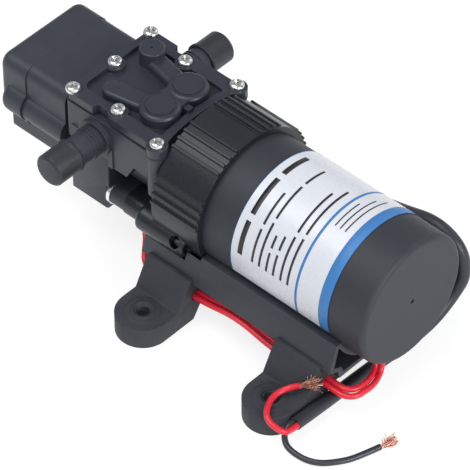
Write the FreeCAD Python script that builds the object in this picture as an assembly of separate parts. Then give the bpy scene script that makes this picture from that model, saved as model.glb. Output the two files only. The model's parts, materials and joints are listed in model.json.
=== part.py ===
import FreeCAD, Part
import math
import os

os.makedirs("parts", exist_ok=True)
V = FreeCAD.Vector

# Driving dimensions, in millimetres. X runs along the motor with its rear end at +X, -Y is the side
# with the inlet port, and the floor is Z = 0. The origin is the middle of the four mounting holes.
AXIS_HEIGHT = 37.5
HOLE_SPACING_X = 57.0
HOLE_SPACING_Y = 82.0
RUNNING_GAP = 0.05
SLIDE_GAP = 0.10
FREE_GAP = 0.30

# Motor
MOTOR_END_X = 52.0
CAN_LENGTH = 88.0
CAN_RADIUS = 23.8
CAN_WALL = 1.2
CAN_EDGE_RADIUS = 2.0
SHAFT_RADIUS = 2.0
BUSH_RADIUS = 5.0
FRONT_BUSH_RADIUS = 4.0
BUSH_LENGTH = 5.0
ARMATURE_RADIUS = 15.0
ARMATURE_LENGTH = 38.0
ARMATURE_POLES = 5
SLOT_WIDTH = 3.2
MAGNET_INNER_RADIUS = 15.8
MAGNET_LENGTH = 42.0
MAGNET_HALF_ANGLE = 62.0
COMMUTATOR_RADIUS = 6.5
COMMUTATOR_LENGTH = 10.0
BRUSH_WIDTH = 5.0
BRUSH_LENGTH = 8.0
HOLDER_THICKNESS = 2.0
LABEL_THICKNESS = 0.25
LABEL_START_X = -5.0
LABEL_END_X = 37.2
LABEL_HALF_ANGLE = 108.0

# Ribbed jacket round the front of the motor
JACKET_WALL = 2.3
JACKET_FACE = 2.2
JACKET_GRIP = 18.3
RIB_HEIGHT = 0.9
RIB_WIDTH = 1.1
RIB_PITCH_ANGLE = 7.0
RIBS_IN_GROUP = 4
RIB_GROUP_ANGLES = (161.5, 115.5, 69.5, 23.5)
TIE_BOSS_RADIUS = 4.9
TIE_BOSS_Y = 22.6
TIE_BOSS_DROP = 10.0
TIE_BOSS_LENGTH = 21.4
TIE_BOSS_INSET = 6.4
TIE_POCKET_RADIUS = 2.2
TIE_POCKET_INSET = 3.4
TIE_SCREW_Y = 23.9
TIE_SCREW_DROP = 10.2
TIE_SCREW_HEAD_RADIUS = 1.9
TIE_SCREW_RADIUS = 1.5

# Pump head
CHAMBER_FROM_JACKET = 15.3
HOUSING_HALF_WIDTH = 20.5
HOUSING_LENGTH = 43.0
HOUSING_FROM_JACKET = 1.3
HOUSING_BOTTOM = -0.5
HOUSING_TOP = 17.3
HOUSING_CORNER_RADIUS = 2.0
HOUSING_CHEEK_X = -60.7
HOUSING_CHEEK = 0.5
HOUSING_CHEEK_TOP = 8.0
HOUSING_NOTCH_X = -54.8
HOUSING_NOTCH_SLOPE = 3.4
HOUSING_NOTCH_TOP = 5.7
COVER_PLATE = 1.4
COVER_INSET = 0.3
COVER_NICK_REACH = 7.8
COVER_NICK_DEPTH = 2.2
GASKET_THICKNESS = 0.8
COVER_RIM = 1.7
COVER_RIM_WIDTH = 2.4
COVER_HOLLOW_FROM_CHAMBER = 86.4
COVER_HOLLOW_RADIUS = 75.0
COVER_HOLLOW_RIM = 3.2
POCKET_HALF_WIDTH = 14.9
POCKET_CORNER_RADIUS = 3.0
DOME_RADIUS = 7.0
DOME_TOP_RADIUS = 4.85
DOME_HEIGHT = 4.4
DOME_DISC = 0.6
DOME_HALF_SPACING = 6.6
DOME_SHIFT = 1.3
DOME_BRIDGE_HALF_WIDTH = 5.0
DOME_WEB_HALF_WIDTH = 1.2
DOME_ROOM_RADIUS = 4.4
RIDGE_HALF_WIDTH = 3.7
RIDGE_HEIGHT = 3.6
RIDGE_CHANNEL_RADIUS = 1.9
RIDGE_REACH = 16.8
RIDGE_SPREAD = 9.9
TEST_BOSS_RADIUS = 4.4
TEST_BOSS_HEIGHT = 6.4
TEST_BOSS_REACH = 18.5
SCREW_BOSS_RADIUS = 3.4
SCREW_PAD_EDGE = 0.25
SCREW_BOSS_DEPTH_AT_MOTOR = 17.0
SCREW_HEAD_RADIUS = 2.5
SCREW_HEAD_HEIGHT = 1.8
SCREW_SHANK_RADIUS = 1.4
SCREW_LENGTH = 14.0

# Ports
PORT_FROM_CHAMBER = 14.5
PORT_HEIGHT = 9.4
PORT_RADIUS = 5.15
PORT_BORE_RADIUS = 3.4
PORT_REACH = 38.3
PORT_FLANGE_RADIUS = 6.9
PORT_FLANGE_LENGTH = 1.8
PORT_RING_RADIUS = 5.6
PORT_RING_PITCH = 1.4
PORT_RINGS = 3
PORT_CAP_WALL = 0.65
PORT_CAP_END = 1.6
PORT_CAP_LENGTH = 10.8
PORT_CAP_GAP_FRONT = 3.4
PORT_CAP_GAP_BACK = 0.1
PORT_CAP_LIP = 0.4
PORT_CAP_TRAVEL = 14.0

# Diaphragm, valves and crank
DIAPHRAGM_HEIGHT = 9.9
DIAPHRAGM_THICKNESS = 1.0
DIAPHRAGM_RIM_RADIUS = 13.9
TOWER_RADIUS = 14.0
TOWER_BORE_RADIUS = 10.9
VALVE_PLATE_RADIUS = 12.6
VALVE_PLATE_THICKNESS = 2.5
VALVE_DISC_RADIUS = 3.6
VALVE_DISC_THICKNESS = 0.8
VALVE_STEM_RADIUS = 0.9
VALVE_BULB_RADIUS = 1.4
VALVE_BULB_LENGTH = 0.6
VALVE_LIFT = 0.9
VALVE_HOLE_RADIUS = 0.7
VALVE_HOLE_CIRCLE = 2.3
PISTON_RADIUS = 6.3
PISTON_THICKNESS = 0.6
PISTON_SCREW_RADIUS = 1.25
PISTON_SCREW_HEAD_RADIUS = 2.5
PISTON_SCREW_HEAD = 1.0
ECCENTRICITY = 1.3
BEARING_BORE_RADIUS = 4.0
BEARING_RADIUS = 8.0
BEARING_WIDTH = 5.0
BEARING_BALL_RADIUS = 1.35
BEARING_BALLS = 8
BEARING_RACE = 0.6
ROD_RING_WALL = 1.8
ROD_HEAD_THICKNESS = 1.4
CRANK_ROOM_RADIUS = 12.8
CRANK_ROOM_LENGTH = 18.6
COUNTERWEIGHT_RADIUS = 6.7
COUNTERWEIGHT_THICKNESS = 2.0

# Crankcase
CRANKCASE_RADIUS = 15.5
CRANKCASE_BLOCK_LENGTH = 15.8
CRANKCASE_BLOCK_HALF_WIDTH = 21.0
CRANKCASE_BLOCK_BOTTOM = -21.6
CRANKCASE_BLOCK_TOP = 2.0
CRANKCASE_BLOCK_CHAMFER = 1.0
BUSH_BOSS_RADIUS = 5.6
BEARING_PLATE_THICKNESS = 1.4
BEARING_PLATE_EDGE = 0.4
NECK_HALF_WIDTH = 20.8
NECK_BOTTOM = -19.5
NECK_TOP = -11.1
NECK_CORNER_RADIUS = 3.9
NECK_SEAM_X = -56.2
NECK_STEP = 0.5

# Pressure switch
SWITCH_GAP = 1.7
SWITCH_BOX_LENGTH = 18.1
SWITCH_CAP_LENGTH = 12.4
SWITCH_HALF_WIDTH = 19.0
SWITCH_TOP = 16.4
SWITCH_BOTTOM = -10.0
SWITCH_WALL = 1.8
SWITCH_CORNER_RADIUS = 4.5
SWITCH_LOBE_RADIUS = 5.6
SWITCH_LOBE_Y = 16.2
SWITCH_LOBE_HEIGHT = -1.0
SWITCH_CAP_LOBE_RADIUS = 6.4
SWITCH_CAP_LOBE_RISE = 0.6
SWITCH_CAP_LOBE_INSET = 2.8
SWITCH_CAP_LOBE_ROUND = 2.4
SWITCH_AXIS_RISE = 4.0
SWITCH_NECK_RADIUS = 9.0
SWITCH_NECK_BORE = 6.5
SWITCH_SLEEVE_RADIUS = 9.6
SWITCH_SLEEVE_BORE = 8.3
SWITCH_SLEEVE_LENGTH = 11.5
SWITCH_DIAPHRAGM = 0.8
SWITCH_RING = 1.2
SWITCH_SEAT = 1.4
SWITCH_END_RADIUS = 3.0
SWITCH_TRAY_DEPTH = 8.6
SWITCH_TRAY_HALF_WIDTH = 15.8
SWITCH_TRAY_INSET = 1.7
SWITCH_LIP = 0.9
PLUNGER_RADIUS = 2.6
PLUNGER_FLANGE_RADIUS = 5.6
PLUNGER_FLANGE = 1.2
PLUNGER_TRAVEL = 1.2
SWITCH_SPRING_RADIUS = 4.4
SWITCH_SPRING_WIRE = 0.35
SWITCH_SPRING_TURNS = 4
MICROSWITCH_LENGTH = 12.8
MICROSWITCH_HEIGHT = 6.5
MICROSWITCH_FRONT = 3.0
MICROSWITCH_WIDTH = 5.8
MICROSWITCH_BUTTON_RADIUS = 1.0
MICROSWITCH_BUTTON_LENGTH = 1.6

# Base rail and feet
RAIL_START_X = -41.6
RAIL_END_X = 41.5
RAIL_WALL = 1.8
RAIL_SHOULDER_Y = 24.4
RAIL_SHOULDER_DROP = 9.8
RAIL_FLANK_Y = 27.7
RAIL_LIP_Y = 23.5
RAIL_LIP_DROP = 22.0
RAIL_BOTTOM_Y = 22.6
RAIL_FLANK_DROP = 20.5
RAIL_BOTTOM_DROP = 25.6
RAIL_PLATE = 1.8
RAIL_SCREW_RADIUS = 1.5
RAIL_SCREW_INSET = 16.0
CAN_CLEARANCE_RADIUS = 26.2
FOOT_WIDTH = 19.0
FOOT_REACH = 50.5
TAB_THICKNESS = 8.0
FOOT_FLANK_Y = 34.6
FOOT_SHOULDER_Y = 28.9
FOOT_SHOULDER_HEIGHT = 18.6
FOOT_STRAP = 5.2
FOOT_ARCH_HALF_WIDTH = 22.5
FOOT_ARCH_FLOOR_HALF_WIDTH = 27.0
FOOT_HOLE_RADIUS = 2.3
FOOT_RING_RADIUS = 4.0
FOOT_RING_HEIGHT = 0.5
FOOT_RING_WIDTH = 0.8
FOOT_PAD_RADIUS = 6.1
FOOT_PAD_HEIGHT = 0.2

# Wiring
WIRE_RADIUS = 1.05
STRAND_RADIUS = 0.2
SLEEVE_RADIUS = 2.3
NOTCH_Y = 25.2
NOTCH_HEIGHT = 10.2
NOTCH_GAP = 0.25
PAIR_LEAN = 20.0
PAIR_PITCH = 2.14
PAIR_MIDDLE = ((-26.46, 13.65), (-24.4, 14.3))
GROMMET_RADIUS = 3.6
GROMMET_LENGTH = 4.0
GROMMET_FLANGE_RADIUS = 4.3
GROMMET_FLANGE = 0.7
MOTOR_WIRE_X = 46.3
MOTOR_WIRE_Y = 8.6
TRAY_WIRE_Y = 7.0
TRAY_WIRE_DROP = 13.3
UNDER_HEAD_HEIGHT = 12.8
LOOP_HEIGHT = 9.3
CABLE_EXIT_X = -98.0
CABLE_EXIT_DROP = 13.4
CABLE_END_X = 40.5
CABLE_END_Y = -42.5
CABLE_END_HEIGHT = 5.4
CORE_OFFSET = 1.06
STRAND_COUNT = 7

# Places worked out from the sizes above
CAN_FRONT_X = MOTOR_END_X - CAN_LENGTH
CAN_INNER_RADIUS = CAN_RADIUS - CAN_WALL
JACKET_FRONT_X = CAN_FRONT_X - JACKET_FACE
JACKET_REAR_X = CAN_FRONT_X + JACKET_GRIP
JACKET_RADIUS = CAN_RADIUS + JACKET_WALL
CHAMBER_X = JACKET_FRONT_X - CHAMBER_FROM_JACKET
HOUSING_RIGHT_X = JACKET_FRONT_X - HOUSING_FROM_JACKET
HOUSING_LEFT_X = HOUSING_RIGHT_X - HOUSING_LENGTH
PORT_X = CHAMBER_X - PORT_FROM_CHAMBER
PLATE_RIGHT_X = CHAMBER_X - CRANK_ROOM_LENGTH / 2
BLOCK_RIGHT_X = PLATE_RIGHT_X - BEARING_PLATE_THICKNESS
BLOCK_LEFT_X = BLOCK_RIGHT_X - CRANKCASE_BLOCK_LENGTH
SWITCH_RIGHT_X = HOUSING_LEFT_X - SWITCH_GAP
SWITCH_SEAM_X = SWITCH_RIGHT_X - SWITCH_BOX_LENGTH
SWITCH_END_X = SWITCH_SEAM_X - SWITCH_CAP_LENGTH
GASKET_TOP = HOUSING_TOP + GASKET_THICKNESS
COVER_TOP = GASKET_TOP + COVER_PLATE
VALVE_PLATE_TOP = HOUSING_TOP
VALVE_PLATE_BOTTOM = VALVE_PLATE_TOP - VALVE_PLATE_THICKNESS
CROWN_TOP = COVER_TOP + COVER_RIM
RAIL_FLANK_Z = AXIS_HEIGHT - RAIL_FLANK_DROP
RAIL_SCREWS_X = (-HOLE_SPACING_X / 2 + RAIL_SCREW_INSET, HOLE_SPACING_X / 2 - RAIL_SCREW_INSET)
ARMATURE_MIDDLE_X = MOTOR_END_X - 46.0
COMMUTATOR_START_X = ARMATURE_MIDDLE_X - 34.0
CAN_END_WALL = CAN_WALL * 1.5
SHAFT_END_X = MOTOR_END_X - CAN_END_WALL - 0.2
FRONT_BUSH_X = BLOCK_RIGHT_X - BUSH_LENGTH
SHAFT_START_X = FRONT_BUSH_X + 0.2
TRAY_RIGHT_X = SWITCH_RIGHT_X - 3.8
TRAY_LEFT_X = SWITCH_END_X + SWITCH_TRAY_INSET
SCREW_PLACES = (
    (CHAMBER_X - 27.0, -18.4),
    (CHAMBER_X - 25.6, 0.0),
    (CHAMBER_X - 27.0, 18.4),
    (CHAMBER_X - 8.9, -15.8),
    (CHAMBER_X - 8.9, 15.8),
    (CHAMBER_X + 11.6, -18.9),
    (CHAMBER_X + 11.6, 18.9),
)
BOSSED_PLACES = [place for place in SCREW_PLACES if place[0] > SCREW_PLACES[0][0]]
NODES = []


def level(height):
    """Height above the floor of a place given from the motor's axis."""
    return AXIS_HEIGHT + height


def box(x0, x1, y0, y1, z0, z1):
    return Part.makeBox(x1 - x0, y1 - y0, z1 - z0, V(x0, y0, z0))


def rod_x(radius, x0, x1, y=0.0, z=AXIS_HEIGHT):
    return Part.makeCylinder(radius, x1 - x0, V(x0, y, z), V(1, 0, 0))


def rod_y(radius, y0, y1, x, z):
    return Part.makeCylinder(radius, y1 - y0, V(x, y0, z), V(0, 1, 0))


def rod_z(radius, z0, z1, x, y):
    return Part.makeCylinder(radius, z1 - z0, V(x, y, z0), V(0, 0, 1))


def tube_x(outer, inner, x0, x1, y=0.0, z=AXIS_HEIGHT):
    return rod_x(outer, x0, x1, y, z).cut(rod_x(inner, x0 - 1, x1 + 1, y, z))


def prism_x(points, x0, x1):
    """Solid with the outline of (y, z) points, from x0 to x1."""
    wire = Part.makePolygon([V(x0, y, z) for y, z in points + points[:1]])
    return Part.Face(wire).extrude(V(x1 - x0, 0, 0))


def prism_y(points, y0, y1):
    """Solid with the outline of (x, z) points, from y0 to y1."""
    wire = Part.makePolygon([V(x, y0, z) for x, z in points + points[:1]])
    return Part.Face(wire).extrude(V(0, y1 - y0, 0))


def prism_z(points, z0, z1):
    """Solid with the outline of (x, y) points, from z0 to z1."""
    wire = Part.makePolygon([V(x, y, z0) for x, y in points + points[:1]])
    return Part.Face(wire).extrude(V(0, 0, z1 - z0))


def turned_z(profile, x, y):
    """Solid of revolution about a vertical axis, from (radius, z) points."""
    wire = Part.makePolygon([V(x + r, y, z) for r, z in profile + profile[:1]])
    return Part.Face(wire).revolve(V(x, y, 0), V(0, 0, 1), 360)


def slot_z(x0, y0, x1, y1, half_width, z0, z1):
    """Round-ended bar between two places, from z0 to z1."""
    length = math.hypot(x1 - x0, y1 - y0)
    nx = -(y1 - y0) / length * half_width
    ny = (x1 - x0) / length * half_width
    points = [(x0 + nx, y0 + ny), (x1 + nx, y1 + ny), (x1 - nx, y1 - ny), (x0 - nx, y0 - ny)]
    bar = prism_z(points, z0, z1)
    return bar.fuse([rod_z(half_width, z0, z1, x0, y0), rod_z(half_width, z0, z1, x1, y1)]).removeSplitter()


def rounded_x(x0, x1, half_width, z0, z1, radius):
    """Bar along X with a rounded rectangle as its section, centred on Y = 0."""
    outer = box(x0, x1, -half_width, half_width, z0, z1)
    edges = [e for e in outer.Edges if abs(e.Vertexes[0].X - e.Vertexes[-1].X) > (x1 - x0) / 2]
    return outer.makeFillet(radius, edges)


def joined(first, *others):
    return first.fuse(list(others)).removeSplitter()


def save(name, shape):
    """Write one node and note how many solids it holds."""
    solids = shape.Solids
    body = solids[0] if len(solids) == 1 else Part.makeCompound(solids)
    body.exportStep("parts/" + name + ".step")
    NODES.append(name)
    print(f"{name}: {len(solids)} solid(s), {sum(s.Volume for s in solids):.1f} mm3, valid {body.isValid()}")


def cord_route(name, points, radius):
    """Tube along straight runs joined by tangent arcs, each arc as large as its two runs allow."""
    points = [V(*p) for p in points]
    edges = []
    start = points[0]
    length = 0.0
    radii = []
    for before, corner, after in zip(points, points[1:], points[2:]):
        come = (before - corner).normalize()
        leave = (after - corner).normalize()
        turn = math.pi - come.getAngle(leave)
        shorter = min((before - corner).Length, (after - corner).Length)
        bend = 0.45 * shorter / math.tan(turn / 2)
        trim = 0.45 * shorter
        first = corner + come * trim
        last = corner + leave * trim
        centre = corner + (come + leave).normalize() * (bend / math.cos(turn / 2))
        middle = centre + (corner - centre).normalize() * bend
        edges.append(Part.LineSegment(start, first).toShape())
        edges.append(Part.Arc(first, middle, last).toShape())
        length += (first - start).Length + bend * turn
        radii.append(bend)
        start = last
    edges.append(Part.LineSegment(start, points[-1]).toShape())
    length += (points[-1] - start).Length
    path = Part.Wire(edges)
    heading = points[1] - points[0]
    section = Part.Wire(Part.Circle(points[0], heading, radius).toShape())
    shell = path.makePipeShell([section], True, False)
    solid = shell if shell.ShapeType == "Solid" else Part.Solid(shell)
    expected = math.pi * radius ** 2 * length
    print(f"{name}: length {length:.1f}, radii {', '.join(f'{r:.1f}' for r in radii)}, "
          f"volume {solid.Volume:.1f} against {expected:.1f}")
    return solid


# Motor

def motor_can():
    """Drawn steel cup with a closed rear end and a bush seat inside it."""
    cup = rod_x(CAN_RADIUS, CAN_FRONT_X, MOTOR_END_X)
    rim = [e for e in cup.Edges if e.BoundBox.XMin > MOTOR_END_X - 0.01]
    cup = cup.makeFillet(CAN_EDGE_RADIUS, rim)
    cup = cup.cut(rod_x(CAN_INNER_RADIUS, CAN_FRONT_X - 1, MOTOR_END_X - CAN_END_WALL))
    seat = tube_x(BUSH_RADIUS + CAN_WALL, BUSH_RADIUS, MOTOR_END_X - CAN_END_WALL - BUSH_LENGTH,
                  MOTOR_END_X - CAN_END_WALL)
    dimple = rod_x(0.8, MOTOR_END_X - 0.6, MOTOR_END_X + 1)
    wire_hole = rod_z(GROMMET_RADIUS, level(-CAN_RADIUS) - 1, level(-CAN_RADIUS * 0.7),
                      MOTOR_WIRE_X, -MOTOR_WIRE_Y)
    save("motor_can", joined(cup, seat).cut(dimple).cut(wire_hole))


def motor_label():
    """Film wrapped round the can, open at the bottom where the rail holds it."""
    film = tube_x(CAN_RADIUS + LABEL_THICKNESS, CAN_RADIUS, LABEL_START_X, LABEL_END_X)
    reach = CAN_RADIUS * 2
    half = math.radians(LABEL_HALF_ANGLE)
    y, z = reach * math.sin(half), reach * math.cos(half)
    corners = [(y, level(z)), (y, level(-reach)), (-y, level(-reach)), (-y, level(z))]
    keep_out = prism_x([(0.0, level(0))] + corners, LABEL_START_X - 1, LABEL_END_X + 1)
    save("motor_label", film.cut(keep_out))


def magnets():
    """Two ferrite arcs stuck inside the can."""
    ring = tube_x(CAN_INNER_RADIUS, MAGNET_INNER_RADIUS, ARMATURE_MIDDLE_X - MAGNET_LENGTH / 2,
                  ARMATURE_MIDDLE_X + MAGNET_LENGTH / 2)
    reach = CAN_RADIUS * 2
    half = math.radians(MAGNET_HALF_ANGLE)
    y, z = reach * math.cos(half), reach * math.sin(half)
    wedges = []
    for side in (-1, 1):
        wedge = prism_x([(0.0, level(0)), (side * y, level(z)), (side * y, level(-z))],
                        ARMATURE_MIDDLE_X - MAGNET_LENGTH, ARMATURE_MIDDLE_X + MAGNET_LENGTH)
        full = prism_x([(0.0, level(0)), (side * y, level(z)), (side * reach, level(z)),
                        (side * reach, level(-z)), (side * y, level(-z))],
                       ARMATURE_MIDDLE_X - MAGNET_LENGTH, ARMATURE_MIDDLE_X + MAGNET_LENGTH)
        wedges.append(ring.common(joined(wedge, full)))
    save("magnets", Part.makeCompound([w.Solids[0] for w in wedges]))


def armature():
    """Laminated core with five slots, its windings in and beyond the slots, and the commutator."""
    x0 = ARMATURE_MIDDLE_X - ARMATURE_LENGTH / 2
    x1 = ARMATURE_MIDDLE_X + ARMATURE_LENGTH / 2
    core = tube_x(ARMATURE_RADIUS, SHAFT_RADIUS, x0, x1)
    coils = []
    for pole in range(ARMATURE_POLES):
        angle = 360.0 / ARMATURE_POLES * pole
        mouth = box(x0 - 1, x1 + 1, -SLOT_WIDTH / 2, SLOT_WIDTH / 2, level(6.0), level(ARMATURE_RADIUS + 1))
        room = rod_x(3.2, x0 - 1, x1 + 1, 0.0, level(8.6))
        coil = rod_x(3.2 - SLIDE_GAP, x0 - 4.0, x1 + 4.0, 0.0, level(8.6))
        for shape in (mouth, room, coil):
            shape.rotate(V(0, 0, AXIS_HEIGHT), V(1, 0, 0), angle)
        core = core.cut(mouth).cut(room)
        coils.append(coil)
    for end in (x0 - 4.0, x1 + 0.2):
        coils.append(tube_x(12.6, 5.2, end, end + 3.8))
    save("armature_core", core)
    save("armature_windings", joined(coils[0], *coils[1:]))


def commutator():
    x1 = COMMUTATOR_START_X + COMMUTATOR_LENGTH
    hub = tube_x(COMMUTATOR_RADIUS - 1.6, SHAFT_RADIUS, COMMUTATOR_START_X, x1)
    bars = []
    ring = tube_x(COMMUTATOR_RADIUS, COMMUTATOR_RADIUS - 1.6, COMMUTATOR_START_X, x1)
    for pole in range(ARMATURE_POLES):
        groove = box(COMMUTATOR_START_X - 1, x1 + 1, -0.3, 0.3, level(0), level(COMMUTATOR_RADIUS + 1))
        groove.rotate(V(0, 0, AXIS_HEIGHT), V(1, 0, 0), 360.0 / ARMATURE_POLES * pole)
        ring = ring.cut(groove)
    bars.extend(ring.Solids)
    save("commutator_hub", hub)
    save("commutator_bars", Part.makeCompound(bars))


def shaft():
    save("shaft", rod_x(SHAFT_RADIUS, SHAFT_START_X, SHAFT_END_X))


def bushes():
    """Sintered bushes: crankcase, jacket face and rear end of the can."""
    for name, x0, radius in (("front_bush", FRONT_BUSH_X, FRONT_BUSH_RADIUS),
                             ("middle_bush", JACKET_FRONT_X, BUSH_RADIUS),
                             ("rear_bush", MOTOR_END_X - CAN_END_WALL - BUSH_LENGTH, BUSH_RADIUS)):
        save(name, tube_x(radius, SHAFT_RADIUS + RUNNING_GAP, x0, x0 + BUSH_LENGTH))


def brush_gear():
    """Insulating plate with two box guides, a carbon brush and a coil spring in each."""
    x0 = COMMUTATOR_START_X - FREE_GAP - HOLDER_THICKNESS
    middle = COMMUTATOR_START_X + COMMUTATOR_LENGTH / 2
    plate = tube_x(CAN_INNER_RADIUS, BUSH_RADIUS + 1.6, x0, x0 + HOLDER_THICKNESS)
    half = BRUSH_WIDTH / 2
    inner = COMMUTATOR_RADIUS + 1.5
    outer = CAN_INNER_RADIUS - 0.6
    brushes, springs, guides = [], [], []
    for side in (-1, 1):
        y0, y1 = sorted((side * inner, side * outer))
        guide = box(x0 + HOLDER_THICKNESS, middle + half + 1.0, y0, y1, level(-half - 1.0), level(half + 1.0))
        way = half + SLIDE_GAP
        slide = box(middle - way, middle + way, y0 - side, y1 - side, level(-way), level(way))
        guides.append(guide.cut(slide))
        b0, b1 = sorted((side * (COMMUTATOR_RADIUS + RUNNING_GAP), side * (COMMUTATOR_RADIUS + BRUSH_LENGTH)))
        brush = box(middle - half, middle + half, b0, b1, level(-half), level(half))
        track = rod_x(COMMUTATOR_RADIUS + RUNNING_GAP, middle - half - 1, middle + half + 1)
        brushes.append(brush.cut(track))
        spring_start = side * (COMMUTATOR_RADIUS + BRUSH_LENGTH + 0.25)
        spring_length = outer - 1.0 - (COMMUTATOR_RADIUS + BRUSH_LENGTH) - 0.5
        springs.append(coil_spring(V(middle, spring_start, AXIS_HEIGHT), V(0, side, 0), 1.7, 0.25,
                                   spring_length, 4, "brush_springs"))
    save("brush_holder", joined(plate, *guides))
    save("brushes", Part.makeCompound(brushes))
    save("brush_springs", Part.makeCompound(springs))


def coil_spring(start, direction, radius, wire, length, turns, name):
    """Open coil of half-turn arcs tilted to the pitch, as one unbroken tube."""
    direction = V(direction).normalize()
    side = V(0, 0, 1) if abs(direction.z) < 0.5 else V(1, 0, 0)
    other = direction.cross(side)
    pitch = (length - 2 * wire) / turns
    base = start + direction * wire

    def at(turn):
        angle = 2 * math.pi * turn
        return base + side * (radius * math.cos(angle)) + other * (radius * math.sin(angle)) \
            + direction * (pitch * turn)

    edges = []
    steps = turns * 4
    for step in range(steps):
        a, b, c = (at((step + part) / 4) for part in (0.0, 0.5, 1.0))
        edges.append(Part.Arc(a, b, c).toShape())
    path = Part.Wire(edges)
    heading = path.Edges[0].tangentAt(path.Edges[0].FirstParameter)
    section = Part.Wire(Part.Circle(at(0), heading, wire).toShape())
    solid = path.makePipeShell([section], True, False)
    solid = solid if solid.ShapeType == "Solid" else Part.Solid(solid)
    print(f"{name}: least gap between turns {pitch - 2 * wire:.2f}")
    return solid


# Jacket and rail

def rail_section():
    """Outline of the rail from shoulder to shoulder, which is also the slot in each foot."""
    half = [(RAIL_SHOULDER_Y, level(-RAIL_SHOULDER_DROP)), (RAIL_FLANK_Y, RAIL_FLANK_Z),
            (RAIL_LIP_Y, level(-RAIL_LIP_DROP)), (RAIL_BOTTOM_Y, level(-RAIL_BOTTOM_DROP))]
    return [(-y, z) for y, z in half] + half[::-1]


def base_rail():
    """Extruded cradle: a saddle under the can, two flanks and a flat bottom with hollow corners."""
    rail = prism_x(rail_section(), RAIL_START_X, RAIL_END_X)
    rail = rail.cut(rod_x(CAN_RADIUS, RAIL_START_X - 1, RAIL_END_X + 1))
    rail = rail.cut(rod_x(JACKET_RADIUS + RIB_HEIGHT, RAIL_START_X - 1, JACKET_REAR_X + FREE_GAP))
    saddle = CAN_RADIUS + RAIL_WALL
    top = level(-RAIL_SHOULDER_DROP) - RAIL_WALL
    floor = level(-RAIL_BOTTOM_DROP) + RAIL_PLATE
    for side in (-1, 1):
        hollow = prism_x([(side * 12.0, top), (side * (RAIL_SHOULDER_Y - 1.2), top),
                          (side * (RAIL_FLANK_Y - 2.4), RAIL_FLANK_Z + 1.2),
                          (side * (RAIL_LIP_Y - RAIL_WALL), level(-RAIL_LIP_DROP) + 1.0),
                          (side * (RAIL_BOTTOM_Y - RAIL_WALL), floor), (side * 12.0, floor)],
                         RAIL_START_X - 1, RAIL_END_X + 1)
        rail = rail.cut(hollow.cut(rod_x(saddle, RAIL_START_X - 2, RAIL_END_X + 2)))
    for side in (-1, 1):
        rail = rail.cut(rod_x(TIE_BOSS_RADIUS + FREE_GAP, RAIL_START_X - 1,
                              JACKET_REAR_X - TIE_BOSS_INSET + FREE_GAP, side * TIE_BOSS_Y,
                              level(-TIE_BOSS_DROP)))
    for x in RAIL_SCREWS_X:
        rail = rail.cut(rod_z(RAIL_SCREW_RADIUS + SLIDE_GAP, 0, AXIS_HEIGHT, x, 0.0))
        rail = rail.cut(rod_z(RAIL_SCREW_RADIUS * 1.9, 0, level(-RAIL_BOTTOM_DROP) + 0.9, x, 0.0))
    save("base_rail", max(rail.removeSplitter().Solids, key=lambda s: s.Volume))
    screws = []
    for x in RAIL_SCREWS_X:
        foot = level(-RAIL_BOTTOM_DROP)
        head = rod_z(RAIL_SCREW_RADIUS * 1.8, foot, foot + 0.9, x, 0.0)
        shank = rod_z(RAIL_SCREW_RADIUS, foot, level(-CAN_RADIUS + 0.5), x, 0.0)
        screws.append(joined(head, shank).cut(rod_x(CAN_RADIUS, x - 5, x + 5)))
    save("rail_screws", Part.makeCompound(screws))


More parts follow.
